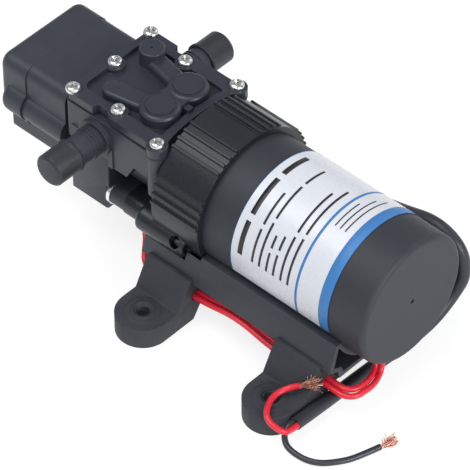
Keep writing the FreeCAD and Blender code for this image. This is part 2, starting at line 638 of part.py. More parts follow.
def jacket():
    """Ribbed shell over the front of the can, with a face wall, a lower half neck and two tie bosses."""
    shell = rod_x(JACKET_RADIUS, JACKET_FRONT_X, JACKET_REAR_X)
    ribs = []
    for middle in RIB_GROUP_ANGLES:
        for index in range(RIBS_IN_GROUP):
            angle = middle + (index - (RIBS_IN_GROUP - 1) / 2) * RIB_PITCH_ANGLE
            rib = box(JACKET_FRONT_X, JACKET_REAR_X, -RIB_WIDTH / 2, RIB_WIDTH / 2,
                      level(JACKET_RADIUS - 1.0), level(JACKET_RADIUS + RIB_HEIGHT))
            rib.rotate(V(0, 0, AXIS_HEIGHT), V(1, 0, 0), angle - 90.0)
            ribs.append(rib)
    neck = rounded_x(NECK_SEAM_X, JACKET_FRONT_X + 1, NECK_HALF_WIDTH + NECK_STEP, level(NECK_BOTTOM),
                     level(NECK_TOP + NECK_STEP), NECK_CORNER_RADIUS)
    boss_end = JACKET_REAR_X - TIE_BOSS_INSET
    boss_start = boss_end - TIE_BOSS_LENGTH
    bosses = []
    for side in (-1, 1):
        boss = rod_x(TIE_BOSS_RADIUS, boss_start, boss_end, side * TIE_BOSS_Y, level(-TIE_BOSS_DROP))
        bosses.append(boss.makeFillet(1.6, [e for e in boss.Edges if e.BoundBox.XLength < 0.01]))
    body = joined(shell, neck, *bosses, *ribs)
    body = body.cut(rod_x(CAN_RADIUS, CAN_FRONT_X, JACKET_REAR_X + 1))
    body = body.cut(rod_x(CRANKCASE_RADIUS, JACKET_FRONT_X - 40, JACKET_FRONT_X))
    body = body.cut(rod_x(BUSH_RADIUS, JACKET_FRONT_X - 1, CAN_FRONT_X + 10))
    bush_seat = tube_x(BUSH_RADIUS + 1.4, BUSH_RADIUS, JACKET_FRONT_X, JACKET_FRONT_X + BUSH_LENGTH)
    body = joined(body, bush_seat)
    z = level(-TIE_SCREW_DROP)
    near = boss_end - TIE_POCKET_INSET
    screws = []
    for side in (-1, 1):
        y = side * TIE_SCREW_Y
        recess = rod_x(TIE_POCKET_RADIUS, near, boss_end + 1, y, z)
        pocket = Part.makeCylinder(TIE_POCKET_RADIUS, 9, V(near, y, z), V(0, side * 0.75, 0.66))
        body = body.cut(joined(recess, pocket).cut(rod_x(CAN_RADIUS + 1.0, near - 4, boss_end + 2)))
        body = body.cut(rod_x(TIE_SCREW_RADIUS, boss_start - 1, boss_end, y, z))
        start = near - TIE_POCKET_RADIUS + 0.9
        body = body.cut(rod_x(TIE_SCREW_HEAD_RADIUS + SLIDE_GAP, start, boss_end + 1, y, z))
        head = rod_x(TIE_SCREW_HEAD_RADIUS, start, start + 2.2, y, z)
        for turn in (35.0, 125.0):
            slot = box(start + 1.2, start + 4, y - 1.5, y + 1.5, z - 0.3, z + 0.3)
            slot.rotate(V(0, y, z), V(1, 0, 0), turn)
            head = head.cut(slot)
        screws.append(joined(head, rod_x(TIE_SCREW_RADIUS, boss_start + 2.0, start, y, z)))
    save("motor_jacket", max(body.removeSplitter().Solids, key=lambda s: s.Volume))
    save("jacket_screws", Part.makeCompound(screws))


def feet():
    """Two rubber feet, each with a bridge under the rail, a claw on each flank and two holed tabs."""
    for name, x in (("foot_front", -HOLE_SPACING_X / 2), ("foot_rear", HOLE_SPACING_X / 2)):
        x0, x1 = x - FOOT_WIDTH / 2, x + FOOT_WIDTH / 2
        strap = level(-RAIL_BOTTOM_DROP) - FOOT_STRAP
        half = [(FOOT_ARCH_FLOOR_HALF_WIDTH, 0.0), (FOOT_REACH, 0.0), (FOOT_REACH, TAB_THICKNESS),
                (FOOT_FLANK_Y, TAB_THICKNESS), (FOOT_SHOULDER_Y, FOOT_SHOULDER_HEIGHT)]
        outline = [(-FOOT_ARCH_HALF_WIDTH, strap), (FOOT_ARCH_HALF_WIDTH, strap)] + half
        outline += [(-y, z) for y, z in reversed(half)]
        foot = prism_x(outline, x0, x1)
        foot = foot.cut(prism_x(rail_section(), x0 - 1, x1 + 1))
        foot = foot.cut(rod_x(CAN_CLEARANCE_RADIUS, x0 - 1, x1 + 1))
        for side in (-1, 1):
            hole_y = side * HOLE_SPACING_Y / 2
            end = box(x0 - 1, x1 + 1, min(hole_y, hole_y + side * 20), max(hole_y, hole_y + side * 20), -1,
                      TAB_THICKNESS + 1)
            foot = foot.cut(end.cut(rod_z(FOOT_WIDTH / 2, -2, TAB_THICKNESS + 2, x, hole_y)))
            pad = rod_z(FOOT_PAD_RADIUS, TAB_THICKNESS - 1, TAB_THICKNESS + FOOT_PAD_HEIGHT, x, hole_y)
            ring = rod_z(FOOT_RING_RADIUS, TAB_THICKNESS - 1, TAB_THICKNESS + FOOT_RING_HEIGHT, x, hole_y)
            foot = joined(foot, pad, ring)
            inside = FOOT_RING_RADIUS - FOOT_RING_WIDTH
            foot = foot.cut(rod_z(inside, TAB_THICKNESS, TAB_THICKNESS + 2, x, hole_y))
            foot = foot.cut(rod_z(FOOT_HOLE_RADIUS, -1, TAB_THICKNESS + 2, x, hole_y))
        foot = foot.cut(pair_notch(x0 - 1, x1 + 1))
        save(name, max(foot.Solids, key=lambda s: s.Volume))


def pair_places(y, z):
    """Centres of the two wires of the pair round one place, leaning as they lie in the notch."""
    lean = math.radians(PAIR_LEAN)
    dy, dz = math.cos(lean) * PAIR_PITCH / 2, math.sin(lean) * PAIR_PITCH / 2
    return [(y - dy, z - dz), (y + dy, z + dz)]


def pair_notch(x0, x1):
    (ya, za), (yb, zb) = pair_places(-NOTCH_Y, NOTCH_HEIGHT)
    radius = WIRE_RADIUS + NOTCH_GAP
    lean = math.radians(PAIR_LEAN)
    ny, nz = -math.sin(lean) * radius, math.cos(lean) * radius
    middle = prism_x([(ya + ny, za + nz), (yb + ny, zb + nz), (yb - ny, zb - nz), (ya - ny, za - nz)], x0, x1)
    return joined(middle, rod_x(radius, x0, x1, ya, za), rod_x(radius, x0, x1, yb, zb))


# Pump head

def housing():
    """Valve housing: one moulding with both ports, the diaphragm seat and seven screw bosses."""
    body = box(HOUSING_LEFT_X, HOUSING_RIGHT_X, -HOUSING_HALF_WIDTH, HOUSING_HALF_WIDTH,
               level(HOUSING_BOTTOM), level(HOUSING_TOP))
    uprights = [e for e in body.Edges if abs(e.Vertexes[0].Z - e.Vertexes[-1].Z) > 5]
    body = body.makeFillet(HOUSING_CORNER_RADIUS, uprights)
    cheeks = box(HOUSING_LEFT_X + 3.0, HOUSING_CHEEK_X, -HOUSING_HALF_WIDTH - HOUSING_CHEEK,
                 HOUSING_HALF_WIDTH + HOUSING_CHEEK, level(HOUSING_BOTTOM), level(HOUSING_CHEEK_TOP))
    notch_top = level(HOUSING_NOTCH_TOP)
    notch = prism_y([(HOUSING_NOTCH_X, 0.0), (HOUSING_NOTCH_X, level(HOUSING_BOTTOM)),
                     (HOUSING_NOTCH_X + HOUSING_NOTCH_SLOPE, notch_top), (HOUSING_RIGHT_X + 5, notch_top),
                     (HOUSING_RIGHT_X + 5, 0.0)], -60, 60)
    body = joined(body, cheeks).cut(notch)
    bosses = []
    for x, y in BOSSED_PLACES:
        drop = SCREW_BOSS_DEPTH_AT_MOTOR if x > CHAMBER_X else HOUSING_TOP - HOUSING_BOTTOM
        bosses.append(rod_z(SCREW_BOSS_RADIUS, level(HOUSING_TOP - drop), level(HOUSING_TOP), x, y))
    ports = []
    for side in (-1, 1):
        flange = rod_y(PORT_FLANGE_RADIUS, *sorted((side * (HOUSING_HALF_WIDTH - 3), side *
                                                    (HOUSING_HALF_WIDTH + PORT_FLANGE_LENGTH))),
                       PORT_X, level(PORT_HEIGHT))
        stub = rod_y(PORT_RADIUS, *sorted((side * (HOUSING_HALF_WIDTH - 3), side * PORT_REACH)),
                     PORT_X, level(PORT_HEIGHT))
        ports += [flange, stub]
        for index in range(PORT_RINGS):
            y = HOUSING_HALF_WIDTH + PORT_FLANGE_LENGTH + 0.9 + index * PORT_RING_PITCH
            y0, y1 = sorted((side * y, side * (y + 0.7)))
            ports.append(rod_y(PORT_RING_RADIUS, y0, y1, PORT_X, level(PORT_HEIGHT)))
    body = joined(body, *bosses, *ports)
    body = body.cut(box(HOUSING_LEFT_X - 9, PLATE_RIGHT_X, -CRANKCASE_BLOCK_HALF_WIDTH - SLIDE_GAP,
                        CRANKCASE_BLOCK_HALF_WIDTH + SLIDE_GAP, 0, level(CRANKCASE_BLOCK_TOP))
                    .cut(rod_z(TOWER_RADIUS, 0, 90, CHAMBER_X, 0)))
    body = body.cut(rod_x(BUSH_BOSS_RADIUS + SLIDE_GAP, FRONT_BUSH_X - 2.2, CHAMBER_X))
    tower_top = level(DIAPHRAGM_HEIGHT + DIAPHRAGM_THICKNESS)
    body = body.cut(rod_z(TOWER_RADIUS, level(HOUSING_BOTTOM) - 1, tower_top, CHAMBER_X, 0))
    body = body.cut(rod_z(TOWER_BORE_RADIUS, 0, level(HOUSING_TOP) + 1, CHAMBER_X, 0))
    seat = level(VALVE_PLATE_BOTTOM)
    body = body.cut(rod_z(VALVE_PLATE_RADIUS, seat, level(HOUSING_TOP) + 1, CHAMBER_X, 0))
    for side in (-1, 1):
        body = body.cut(rod_y(PORT_BORE_RADIUS, *sorted((side * 14.0, side * (PORT_REACH + 1))),
                              PORT_X, level(PORT_HEIGHT)))
        body = body.cut(rod_y(PORT_BORE_RADIUS - 1.0, *sorted((side * 9.0, side * 15.0)),
                              PORT_X, level(PORT_HEIGHT)))
        body = body.cut(rod_z(RIDGE_CHANNEL_RADIUS, level(PORT_HEIGHT), level(HOUSING_TOP) + 1,
                              CHAMBER_X - RIDGE_REACH + 0.8, side * RIDGE_SPREAD))
    sense_y = 5.0
    body = body.cut(rod_y(1.3, sense_y - 1.3, 10.0, PORT_X - 0.9, level(PORT_HEIGHT)))
    body = body.cut(rod_x(1.3, HOUSING_LEFT_X - 1, PORT_X - 0.9, sense_y, level(PORT_HEIGHT)))
    screw_floor = level(CROWN_TOP) - SCREW_LENGTH - 1.0
    for x, y in SCREW_PLACES:
        body = body.cut(rod_z(SCREW_SHANK_RADIUS, screw_floor, level(HOUSING_TOP) + 1, x, y))
    save("valve_housing", max(body.Solids, key=lambda s: s.Volume))


def top_rounded(solid, radius, top):
    """Solid with the edges of its top face rounded."""
    return solid.makeFillet(radius, [e for e in solid.Edges if e.BoundBox.ZMin > top - 0.01])


def cover_outline(grow, z0, z1):
    """Plate under the cover screws, with a nick on each side and a hollow towards the motor."""
    left, right = HOUSING_LEFT_X + COVER_INSET - grow, CHAMBER_X + 14.4 + grow
    wide = HOUSING_HALF_WIDTH - COVER_INSET + grow
    plate = box(left, right, -wide, wide, z0, z1)
    plate = plate.makeFillet(HOUSING_CORNER_RADIUS, [e for e in plate.Edges if e.BoundBox.XLength < 0.01
                                                     and e.BoundBox.YLength < 0.01])
    middle = SCREW_PLACES[3][0]
    for side in (-1, 1):
        outer, inner = side * (wide + 1), side * (wide - COVER_NICK_DEPTH)
        nick = [(middle - COVER_NICK_REACH, outer), (middle - COVER_NICK_REACH + 0.8, inner), (middle, inner),
                (middle, outer)]
        plate = plate.cut(prism_z(nick, z0 - 1, z1 + 1))
    hollow = rod_z(COVER_HOLLOW_RADIUS - grow, z0 - 1, z1 + 1, CHAMBER_X + COVER_HOLLOW_FROM_CHAMBER, 0)
    pads = [rod_z(SCREW_BOSS_RADIUS + SCREW_PAD_EDGE, z0, z1, x, y) for x, y in BOSSED_PLACES]
    return joined(plate.cut(hollow), *pads)


def ridge_bar(side, reach, half_width, z0, z1):
    """Bar along one ridge, from its dome to the given reach."""
    run = reach / RIDGE_REACH
    x0, y0 = CHAMBER_X, side * DOME_HALF_SPACING
    x1, y1 = CHAMBER_X - reach, side * (DOME_HALF_SPACING + (RIDGE_SPREAD - DOME_HALF_SPACING) * run)
    return slot_z(x0, y0, x1, y1, half_width, z0, z1)


def top_cover():
    """Cover with a sunk floor, two domes over the valves, two channel ridges and a test boss."""
    cover = cover_outline(0.0, level(GASKET_TOP), level(CROWN_TOP))
    floor = level(COVER_TOP)
    top = level(CROWN_TOP) + 1
    sunk = box(HOUSING_LEFT_X + 0.6 + COVER_RIM_WIDTH, CHAMBER_X + 10.5,
               -POCKET_HALF_WIDTH, POCKET_HALF_WIDTH, floor, top)
    sunk = sunk.makeFillet(POCKET_CORNER_RADIUS, [e for e in sunk.Edges if e.BoundBox.ZLength > 1])
    sunk = sunk.cut(rod_z(COVER_HOLLOW_RADIUS + COVER_HOLLOW_RIM, floor - 1, top + 1,
                          CHAMBER_X + COVER_HOLLOW_FROM_CHAMBER, 0))
    pads = [rod_z(SCREW_BOSS_RADIUS, floor - 1, top + 1, x, y) for x, y in SCREW_PLACES]
    cover = cover.cut(sunk.cut(pads[0].fuse(pads[1:])))
    raised = []
    for side in (-1, 1):
        x, y = CHAMBER_X + DOME_SHIFT, side * DOME_HALF_SPACING
        crown = floor + DOME_HEIGHT
        side_wall = [(0, floor), (DOME_RADIUS, floor), (DOME_RADIUS, crown - 1.0)]
        rim = [(DOME_RADIUS - 0.5, crown - 0.3), (DOME_RADIUS - 1.2, crown)]
        disc = [(DOME_TOP_RADIUS, crown), (DOME_TOP_RADIUS, crown + DOME_DISC), (0, crown + DOME_DISC)]
        raised.append(turned_z(side_wall + rim + disc, x, y))
    dome_x = CHAMBER_X + DOME_SHIFT
    raised.append(slot_z(dome_x, -DOME_HALF_SPACING, dome_x, DOME_HALF_SPACING, DOME_BRIDGE_HALF_WIDTH,
                         floor, floor + DOME_HEIGHT - 0.5))
    raised.append(box(dome_x, dome_x + DOME_RADIUS + 0.6, -DOME_WEB_HALF_WIDTH, DOME_WEB_HALF_WIDTH,
                      floor, floor + DOME_HEIGHT - 1.5))
    front = ridge_bar(-1, RIDGE_REACH, RIDGE_HALF_WIDTH, floor, floor + RIDGE_HEIGHT)
    raised.append(top_rounded(front, 1.2, floor + RIDGE_HEIGHT))
    back = ridge_bar(1, TEST_BOSS_REACH, RIDGE_HALF_WIDTH, floor, floor + RIDGE_HEIGHT)
    raised.append(top_rounded(back, 1.8, floor + RIDGE_HEIGHT))
    run = TEST_BOSS_REACH / RIDGE_REACH
    boss_y = DOME_HALF_SPACING + (RIDGE_SPREAD - DOME_HALF_SPACING) * run
    boss = rod_z(TEST_BOSS_RADIUS, floor, floor + TEST_BOSS_HEIGHT, CHAMBER_X - TEST_BOSS_REACH, boss_y)
    raised.append(top_rounded(boss, 0.6, floor + TEST_BOSS_HEIGHT))
    cover = joined(cover, *raised)
    cover = cover.cut(rod_z(0.5, floor + TEST_BOSS_HEIGHT - 0.5, floor + TEST_BOSS_HEIGHT + 1,
                            CHAMBER_X - TEST_BOSS_REACH, boss_y))
    for side in (-1, 1):
        cover = cover.cut(rod_z(DOME_ROOM_RADIUS, level(GASKET_TOP) - 1, floor + DOME_HEIGHT - 1.4,
                                CHAMBER_X, side * DOME_HALF_SPACING))
        cover = cover.cut(ridge_bar(side, RIDGE_REACH - 0.8, RIDGE_CHANNEL_RADIUS, level(GASKET_TOP) - 1,
                                    floor + RIDGE_HEIGHT - 1.6))
    for x, y in SCREW_PLACES:
        cover = cover.cut(rod_z(SCREW_SHANK_RADIUS + SLIDE_GAP, level(GASKET_TOP) - 1, top, x, y))
    save("top_cover", max(cover.removeSplitter().Solids, key=lambda s: s.Volume))


def cover_gasket():
    gasket = cover_outline(-0.4, level(HOUSING_TOP), level(GASKET_TOP))
    for side in (-1, 1):
        gasket = gasket.cut(rod_z(DOME_ROOM_RADIUS, 0, 99, CHAMBER_X, side * DOME_HALF_SPACING))
        gasket = gasket.cut(rod_z(RIDGE_CHANNEL_RADIUS, 0, 99,
                                  CHAMBER_X - RIDGE_REACH + 0.8, side * RIDGE_SPREAD))
    for x, y in SCREW_PLACES:
        gasket = gasket.cut(rod_z(SCREW_SHANK_RADIUS + SLIDE_GAP, 0, 99, x, y))
    save("cover_gasket", gasket.removeSplitter().Solids[0])


def cover_screws():
    """Seven pan-head screws with cross recesses."""
    screws = []
    for x, y in SCREW_PLACES:
        z = level(CROWN_TOP)
        crown = z + SCREW_HEAD_HEIGHT
        head = top_rounded(rod_z(SCREW_HEAD_RADIUS, z, crown, x, y), 0.8, crown)
        for turn in (25.0, 115.0):
            slot = box(x - 1.5, x + 1.5, y - 0.3, y + 0.3, crown - 1.0, crown + 1)
            slot.rotate(V(x, y, 0), V(0, 0, 1), turn)
            head = head.cut(slot)
        screws.append(joined(head, rod_z(SCREW_SHANK_RADIUS, z - SCREW_LENGTH, z, x, y)))
    save("cover_screws", Part.makeCompound(screws))


def valve_plate():
    plate = rod_z(VALVE_PLATE_RADIUS, level(VALVE_PLATE_BOTTOM), level(VALVE_PLATE_TOP), CHAMBER_X, 0)
    for side in (-1, 1):
        y = side * DOME_HALF_SPACING
        plate = plate.cut(rod_z(VALVE_STEM_RADIUS + RUNNING_GAP, 0, 99, CHAMBER_X, y))
        for index in range(6):
            angle = math.radians(60 * index + 30)
            plate = plate.cut(rod_z(VALVE_HOLE_RADIUS, 0, 99, CHAMBER_X + VALVE_HOLE_CIRCLE * math.cos(angle),
                                    y + VALVE_HOLE_CIRCLE * math.sin(angle)))
    save("valve_plate", plate)


def valves():
    """Umbrella valves: the inlet one hangs below the plate, the outlet one sits on top of it."""
    for name, y, face, way in (("inlet_valve", -DOME_HALF_SPACING, level(VALVE_PLATE_BOTTOM), -1),
                               ("outlet_valve", DOME_HALF_SPACING, level(VALVE_PLATE_TOP), 1)):
        seat = face + way * RUNNING_GAP
        disc = rod_z(VALVE_DISC_RADIUS, *sorted((seat, seat + way * VALVE_DISC_THICKNESS)), CHAMBER_X, y)
        far = face - way * (VALVE_PLATE_THICKNESS + VALVE_LIFT + RUNNING_GAP * 2)
        stem = rod_z(VALVE_STEM_RADIUS, *sorted((seat, far)), CHAMBER_X, y)
        bulb = rod_z(VALVE_BULB_RADIUS, *sorted((far, far - way * VALVE_BULB_LENGTH)), CHAMBER_X, y)
        save(name, joined(disc, stem, bulb))


def diaphragm_set():
    """Diaphragm at the bottom of its stroke, the washer on top of it and the screw through both."""
    low = level(DIAPHRAGM_HEIGHT) - ECCENTRICITY
    rim = level(DIAPHRAGM_HEIGHT)
    t = DIAPHRAGM_THICKNESS
    hole = PISTON_SCREW_RADIUS
    under = [(hole, low), (PISTON_RADIUS, low), (TOWER_BORE_RADIUS, rim), (DIAPHRAGM_RIM_RADIUS, rim)]
    over = [(DIAPHRAGM_RIM_RADIUS, rim + t), (TOWER_BORE_RADIUS - 0.3, rim + t), (PISTON_RADIUS, low + t)]
    save("pump_diaphragm", turned_z(under + over + [(hole, low + t)], CHAMBER_X, 0))
    washer = rod_z(PISTON_RADIUS, low + t, low + t + PISTON_THICKNESS, CHAMBER_X, 0)
    save("diaphragm_washer", washer.cut(rod_z(hole, 0, 99, CHAMBER_X, 0)))
    seat = low + t + PISTON_THICKNESS
    head = rod_z(PISTON_SCREW_HEAD_RADIUS, seat, seat + PISTON_SCREW_HEAD, CHAMBER_X, 0)
    head = head.cut(box(CHAMBER_X - 3, CHAMBER_X + 3, -0.3, 0.3, seat + 0.4, seat + 9))
    save("diaphragm_screw", joined(head, rod_z(hole, low - ROD_HEAD_THICKNESS - 0.2, seat, CHAMBER_X, 0)))


def crank():
    """Connecting rod round a ball bearing on an eccentric sleeve, with the throw pointing down."""
    z = AXIS_HEIGHT - ECCENTRICITY
    x0, x1 = CHAMBER_X - BEARING_WIDTH / 2, CHAMBER_X + BEARING_WIDTH / 2
    low = level(DIAPHRAGM_HEIGHT) - ECCENTRICITY
    ring = rod_x(BEARING_RADIUS + ROD_RING_WALL, x0, x1, 0, z)
    head = rod_z(PISTON_RADIUS - 0.3, low - ROD_HEAD_THICKNESS, low, CHAMBER_X, 0)
    rod = joined(ring, head).cut(rod_x(BEARING_RADIUS, x0 - 5, x1 + 5, 0, z))
    rod = rod.cut(box(x0 - 9, x0, -9, 9, z, low - ROD_HEAD_THICKNESS)).cut(
        box(x1, x1 + 9, -9, 9, z, low - ROD_HEAD_THICKNESS))
    rod = rod.cut(rod_z(PISTON_SCREW_RADIUS, low - ROD_HEAD_THICKNESS - 1.0, low + 1, CHAMBER_X, 0))
    save("connecting_rod", max(rod.Solids, key=lambda s: s.Volume))
    save("bearing_outer_race", tube_x(BEARING_RADIUS, BEARING_RADIUS - BEARING_RACE, x0, x1, 0, z))
    save("bearing_inner_race", tube_x(BEARING_BORE_RADIUS + BEARING_RACE, BEARING_BORE_RADIUS, x0, x1, 0, z))
    balls = []
    for index in range(BEARING_BALLS):
        angle = 2 * math.pi * index / BEARING_BALLS
        middle = (BEARING_BORE_RADIUS + BEARING_RADIUS) / 2
        balls.append(Part.makeSphere(BEARING_BALL_RADIUS, V(CHAMBER_X, middle * math.cos(angle),
                                                            z + middle * math.sin(angle))))
    save("bearing_balls", Part.makeCompound(balls))
    sleeve = rod_x(BEARING_BORE_RADIUS, x0, x1 + 0.6, 0, z)
    shoulder = rod_x(BEARING_BORE_RADIUS + BEARING_RACE, x0 - 1.0, x0, 0, z)
    weight = rod_x(COUNTERWEIGHT_RADIUS, x1 + 0.6, x1 + 0.6 + COUNTERWEIGHT_THICKNESS)
    weight = weight.cut(box(x1, x1 + 9, -20, 20, 0, level(-3.6)))
    weight = weight.cut(box(x1, x1 + 9, 4.6, 20, 0, level(0))).cut(box(x1, x1 + 9, -20, -4.6, 0, level(0)))
    eccentric = joined(sleeve, shoulder, weight).cut(rod_x(SHAFT_RADIUS, x0 - 5, x1 + 9))
    save("eccentric", eccentric)


def crankcase():
    """Round case with the diaphragm tower, bright bearing plate and the end block with its bush."""
    x0, x1 = PLATE_RIGHT_X, JACKET_FRONT_X
    case = rod_x(CRANKCASE_RADIUS, x0, x1).cut(box(x0 - 1, x1 + 1, -60, 60, level(HOUSING_BOTTOM) - 0.1, 120))
    tower = rod_z(TOWER_RADIUS, level(HOUSING_BOTTOM) - 3, level(DIAPHRAGM_HEIGHT), CHAMBER_X, 0)
    over_block = tower.common(box(BLOCK_LEFT_X, x0, -60, 60, level(CRANKCASE_BLOCK_TOP), 120))
    over_block = over_block.cut(rod_x(BUSH_BOSS_RADIUS, BLOCK_LEFT_X, x0))
    tower = tower.common(box(x0, x1, -60, 60, 0, 120))
    slab = rounded_x(x0, NECK_SEAM_X, NECK_HALF_WIDTH, level(NECK_BOTTOM), level(NECK_TOP),
                     NECK_CORNER_RADIUS)
    case = joined(case, tower, over_block, slab)
    case = case.cut(rod_x(CRANK_ROOM_RADIUS, x0 - 1, x0 + CRANK_ROOM_LENGTH))
    case = case.cut(rod_z(TOWER_BORE_RADIUS, level(-2), 120, CHAMBER_X, 0))
    case = case.cut(rod_x(SHAFT_RADIUS + FREE_GAP * 2, x0, x1 + 1))
    save("crankcase", max(case.Solids, key=lambda s: s.Volume))
    plate = rod_x(CRANKCASE_RADIUS, BLOCK_RIGHT_X, PLATE_RIGHT_X)
    plate = plate.cut(box(BLOCK_RIGHT_X - 1, x0 + 1, -60, 60, level(HOUSING_BOTTOM) - 0.1, 120))
    edge = BEARING_PLATE_EDGE
    skirt = rounded_x(BLOCK_RIGHT_X, PLATE_RIGHT_X, NECK_HALF_WIDTH + edge, level(NECK_BOTTOM) - edge,
                      level(NECK_TOP) + edge, NECK_CORNER_RADIUS + edge)
    tongue = box(BLOCK_RIGHT_X, PLATE_RIGHT_X, -TOWER_RADIUS + 1, TOWER_RADIUS - 1,
                 level(-3), level(CRANKCASE_BLOCK_TOP))
    plate = joined(plate, skirt, tongue).cut(rod_x(SHAFT_RADIUS + FREE_GAP, BLOCK_RIGHT_X - 1, x0 + 1))
    save("bearing_plate", plate)
    wide = CRANKCASE_BLOCK_HALF_WIDTH
    top = level(CRANKCASE_BLOCK_TOP)
    block = box(BLOCK_LEFT_X, BLOCK_RIGHT_X, -wide, wide, level(CRANKCASE_BLOCK_BOTTOM), top)
    wings = box(BLOCK_RIGHT_X, PLATE_RIGHT_X, -wide, wide, level(NECK_TOP) + edge, top)
    wings = wings.cut(plate).cut(rod_x(CRANKCASE_RADIUS, BLOCK_RIGHT_X - 1, PLATE_RIGHT_X + 1))
    long_edges = [e for e in block.Edges if e.BoundBox.ZMax < level(CRANKCASE_BLOCK_BOTTOM) + 0.01
                  and e.BoundBox.XLength > 5]
    block = block.makeChamfer(CRANKCASE_BLOCK_CHAMFER, long_edges)
    boss = rod_x(BUSH_BOSS_RADIUS, FRONT_BUSH_X - 2.0, BLOCK_RIGHT_X)
    block = joined(block, boss, *wings.cut(tongue).Solids)
    block = block.cut(rod_x(FRONT_BUSH_RADIUS, FRONT_BUSH_X - 0.6, BLOCK_RIGHT_X + 1))
    save("crank_block", block)


# Pressure switch

def switch_parts():
    """Box with its neck and inner sleeve, end cap, wiring tray and the working parts between them."""
    axis = level(SWITCH_AXIS_RISE)
    body = rounded_x(SWITCH_SEAM_X, SWITCH_RIGHT_X, SWITCH_HALF_WIDTH, level(SWITCH_BOTTOM),
                     level(SWITCH_TOP), SWITCH_CORNER_RADIUS)
    room = rounded_x(SWITCH_SEAM_X - 1, SWITCH_RIGHT_X - SWITCH_WALL, SWITCH_HALF_WIDTH - SWITCH_WALL,
                     level(SWITCH_BOTTOM + SWITCH_WALL), level(SWITCH_TOP - SWITCH_WALL),
                     SWITCH_CORNER_RADIUS - SWITCH_WALL)
    lobes = [rod_x(SWITCH_LOBE_RADIUS, SWITCH_SEAM_X, SWITCH_RIGHT_X, y, level(SWITCH_LOBE_HEIGHT))
             for y in (-SWITCH_LOBE_Y, SWITCH_LOBE_Y)]
    neck = rod_x(SWITCH_NECK_RADIUS, SWITCH_RIGHT_X - 1, HOUSING_LEFT_X, 0, axis)
    sleeve_left = SWITCH_RIGHT_X - SWITCH_WALL - SWITCH_SLEEVE_LENGTH
    sleeve = rod_x(SWITCH_SLEEVE_RADIUS, sleeve_left, SWITCH_RIGHT_X - SWITCH_WALL, 0, axis)
    body = joined(joined(body, neck).cut(room), sleeve, *lobes)
    body = body.cut(rod_x(SWITCH_SLEEVE_BORE, sleeve_left - 1, SWITCH_RIGHT_X - SWITCH_WALL, 0, axis))
    body = body.cut(rod_x(SWITCH_NECK_BORE, sleeve_left, HOUSING_LEFT_X + 1, 0, axis))
    for side in (-1, 1):
        body = body.cut(rod_x(SCREW_SHANK_RADIUS, SWITCH_SEAM_X - 1, SWITCH_SEAM_X + 10, side * SWITCH_LOBE_Y,
                              level(SWITCH_LOBE_HEIGHT)))
    body = body.cut(box(SWITCH_SEAM_X - 1, SWITCH_SEAM_X + 4, -4, 4, level(SWITCH_BOTTOM) - 1,
                        level(SWITCH_BOTTOM) + SWITCH_WALL + 1))
    save("switch_box", max(body.removeSplitter().Solids, key=lambda s: s.Volume))

    cap = rounded_x(SWITCH_END_X, SWITCH_SEAM_X, SWITCH_HALF_WIDTH + SWITCH_LIP / 2, level(SWITCH_BOTTOM),
                    level(SWITCH_TOP), SWITCH_CORNER_RADIUS)
    cap = cap.makeFillet(SWITCH_END_RADIUS, [e for e in cap.Edges if e.BoundBox.XMax < SWITCH_END_X + 0.01])
    cap_lobes = []
    for side in (-1, 1):
        lobe = rod_x(SWITCH_CAP_LOBE_RADIUS, SWITCH_END_X + SWITCH_CAP_LOBE_INSET, SWITCH_SEAM_X,
                     side * SWITCH_LOBE_Y, level(SWITCH_LOBE_HEIGHT + SWITCH_CAP_LOBE_RISE))
        end_edges = [e for e in lobe.Edges if e.BoundBox.XMax < SWITCH_END_X + SWITCH_CAP_LOBE_INSET + 0.01]
        cap_lobes.append(lobe.makeFillet(SWITCH_CAP_LOBE_ROUND, end_edges))
    hollow = rounded_x(SWITCH_END_X + SWITCH_WALL, SWITCH_SEAM_X + 1, SWITCH_HALF_WIDTH - SWITCH_WALL,
                       level(SWITCH_BOTTOM + SWITCH_WALL), level(SWITCH_TOP - SWITCH_WALL),
                       SWITCH_CORNER_RADIUS - SWITCH_WALL)
    cap = joined(cap, *cap_lobes).cut(hollow)
    screws = []
    for side in (-1, 1):
        y, z = side * SWITCH_LOBE_Y, level(SWITCH_LOBE_HEIGHT)
        cap = cap.cut(rod_x(SCREW_SHANK_RADIUS + SLIDE_GAP, SWITCH_END_X, SWITCH_SEAM_X + 1, y, z))
        cap = cap.cut(rod_x(SCREW_HEAD_RADIUS + SLIDE_GAP, SWITCH_END_X - 1, SWITCH_END_X + 5.4, y, z))
        head = rod_x(SCREW_HEAD_RADIUS, SWITCH_END_X + 3.8, SWITCH_END_X + 5.4, y, z)
        for turn in (20.0, 110.0):
            slot = box(SWITCH_END_X, SWITCH_END_X + 4.6, y - 1.5, y + 1.5, z - 0.3, z + 0.3)
            slot.rotate(V(0, y, z), V(1, 0, 0), turn)
            head = head.cut(slot)
        screws.append(joined(head, rod_x(SCREW_SHANK_RADIUS, SWITCH_END_X + 5.4, SWITCH_SEAM_X + 9, y, z)))
    cap = cap.cut(box(SWITCH_SEAM_X - 4, SWITCH_SEAM_X + 1, -4, 4, level(SWITCH_BOTTOM) - 1,
                      level(SWITCH_BOTTOM) + SWITCH_WALL + 1))
    save("switch_end_cap", max(cap.removeSplitter().Solids, key=lambda s: s.Volume))
    save("switch_cap_screws", Part.makeCompound(screws))

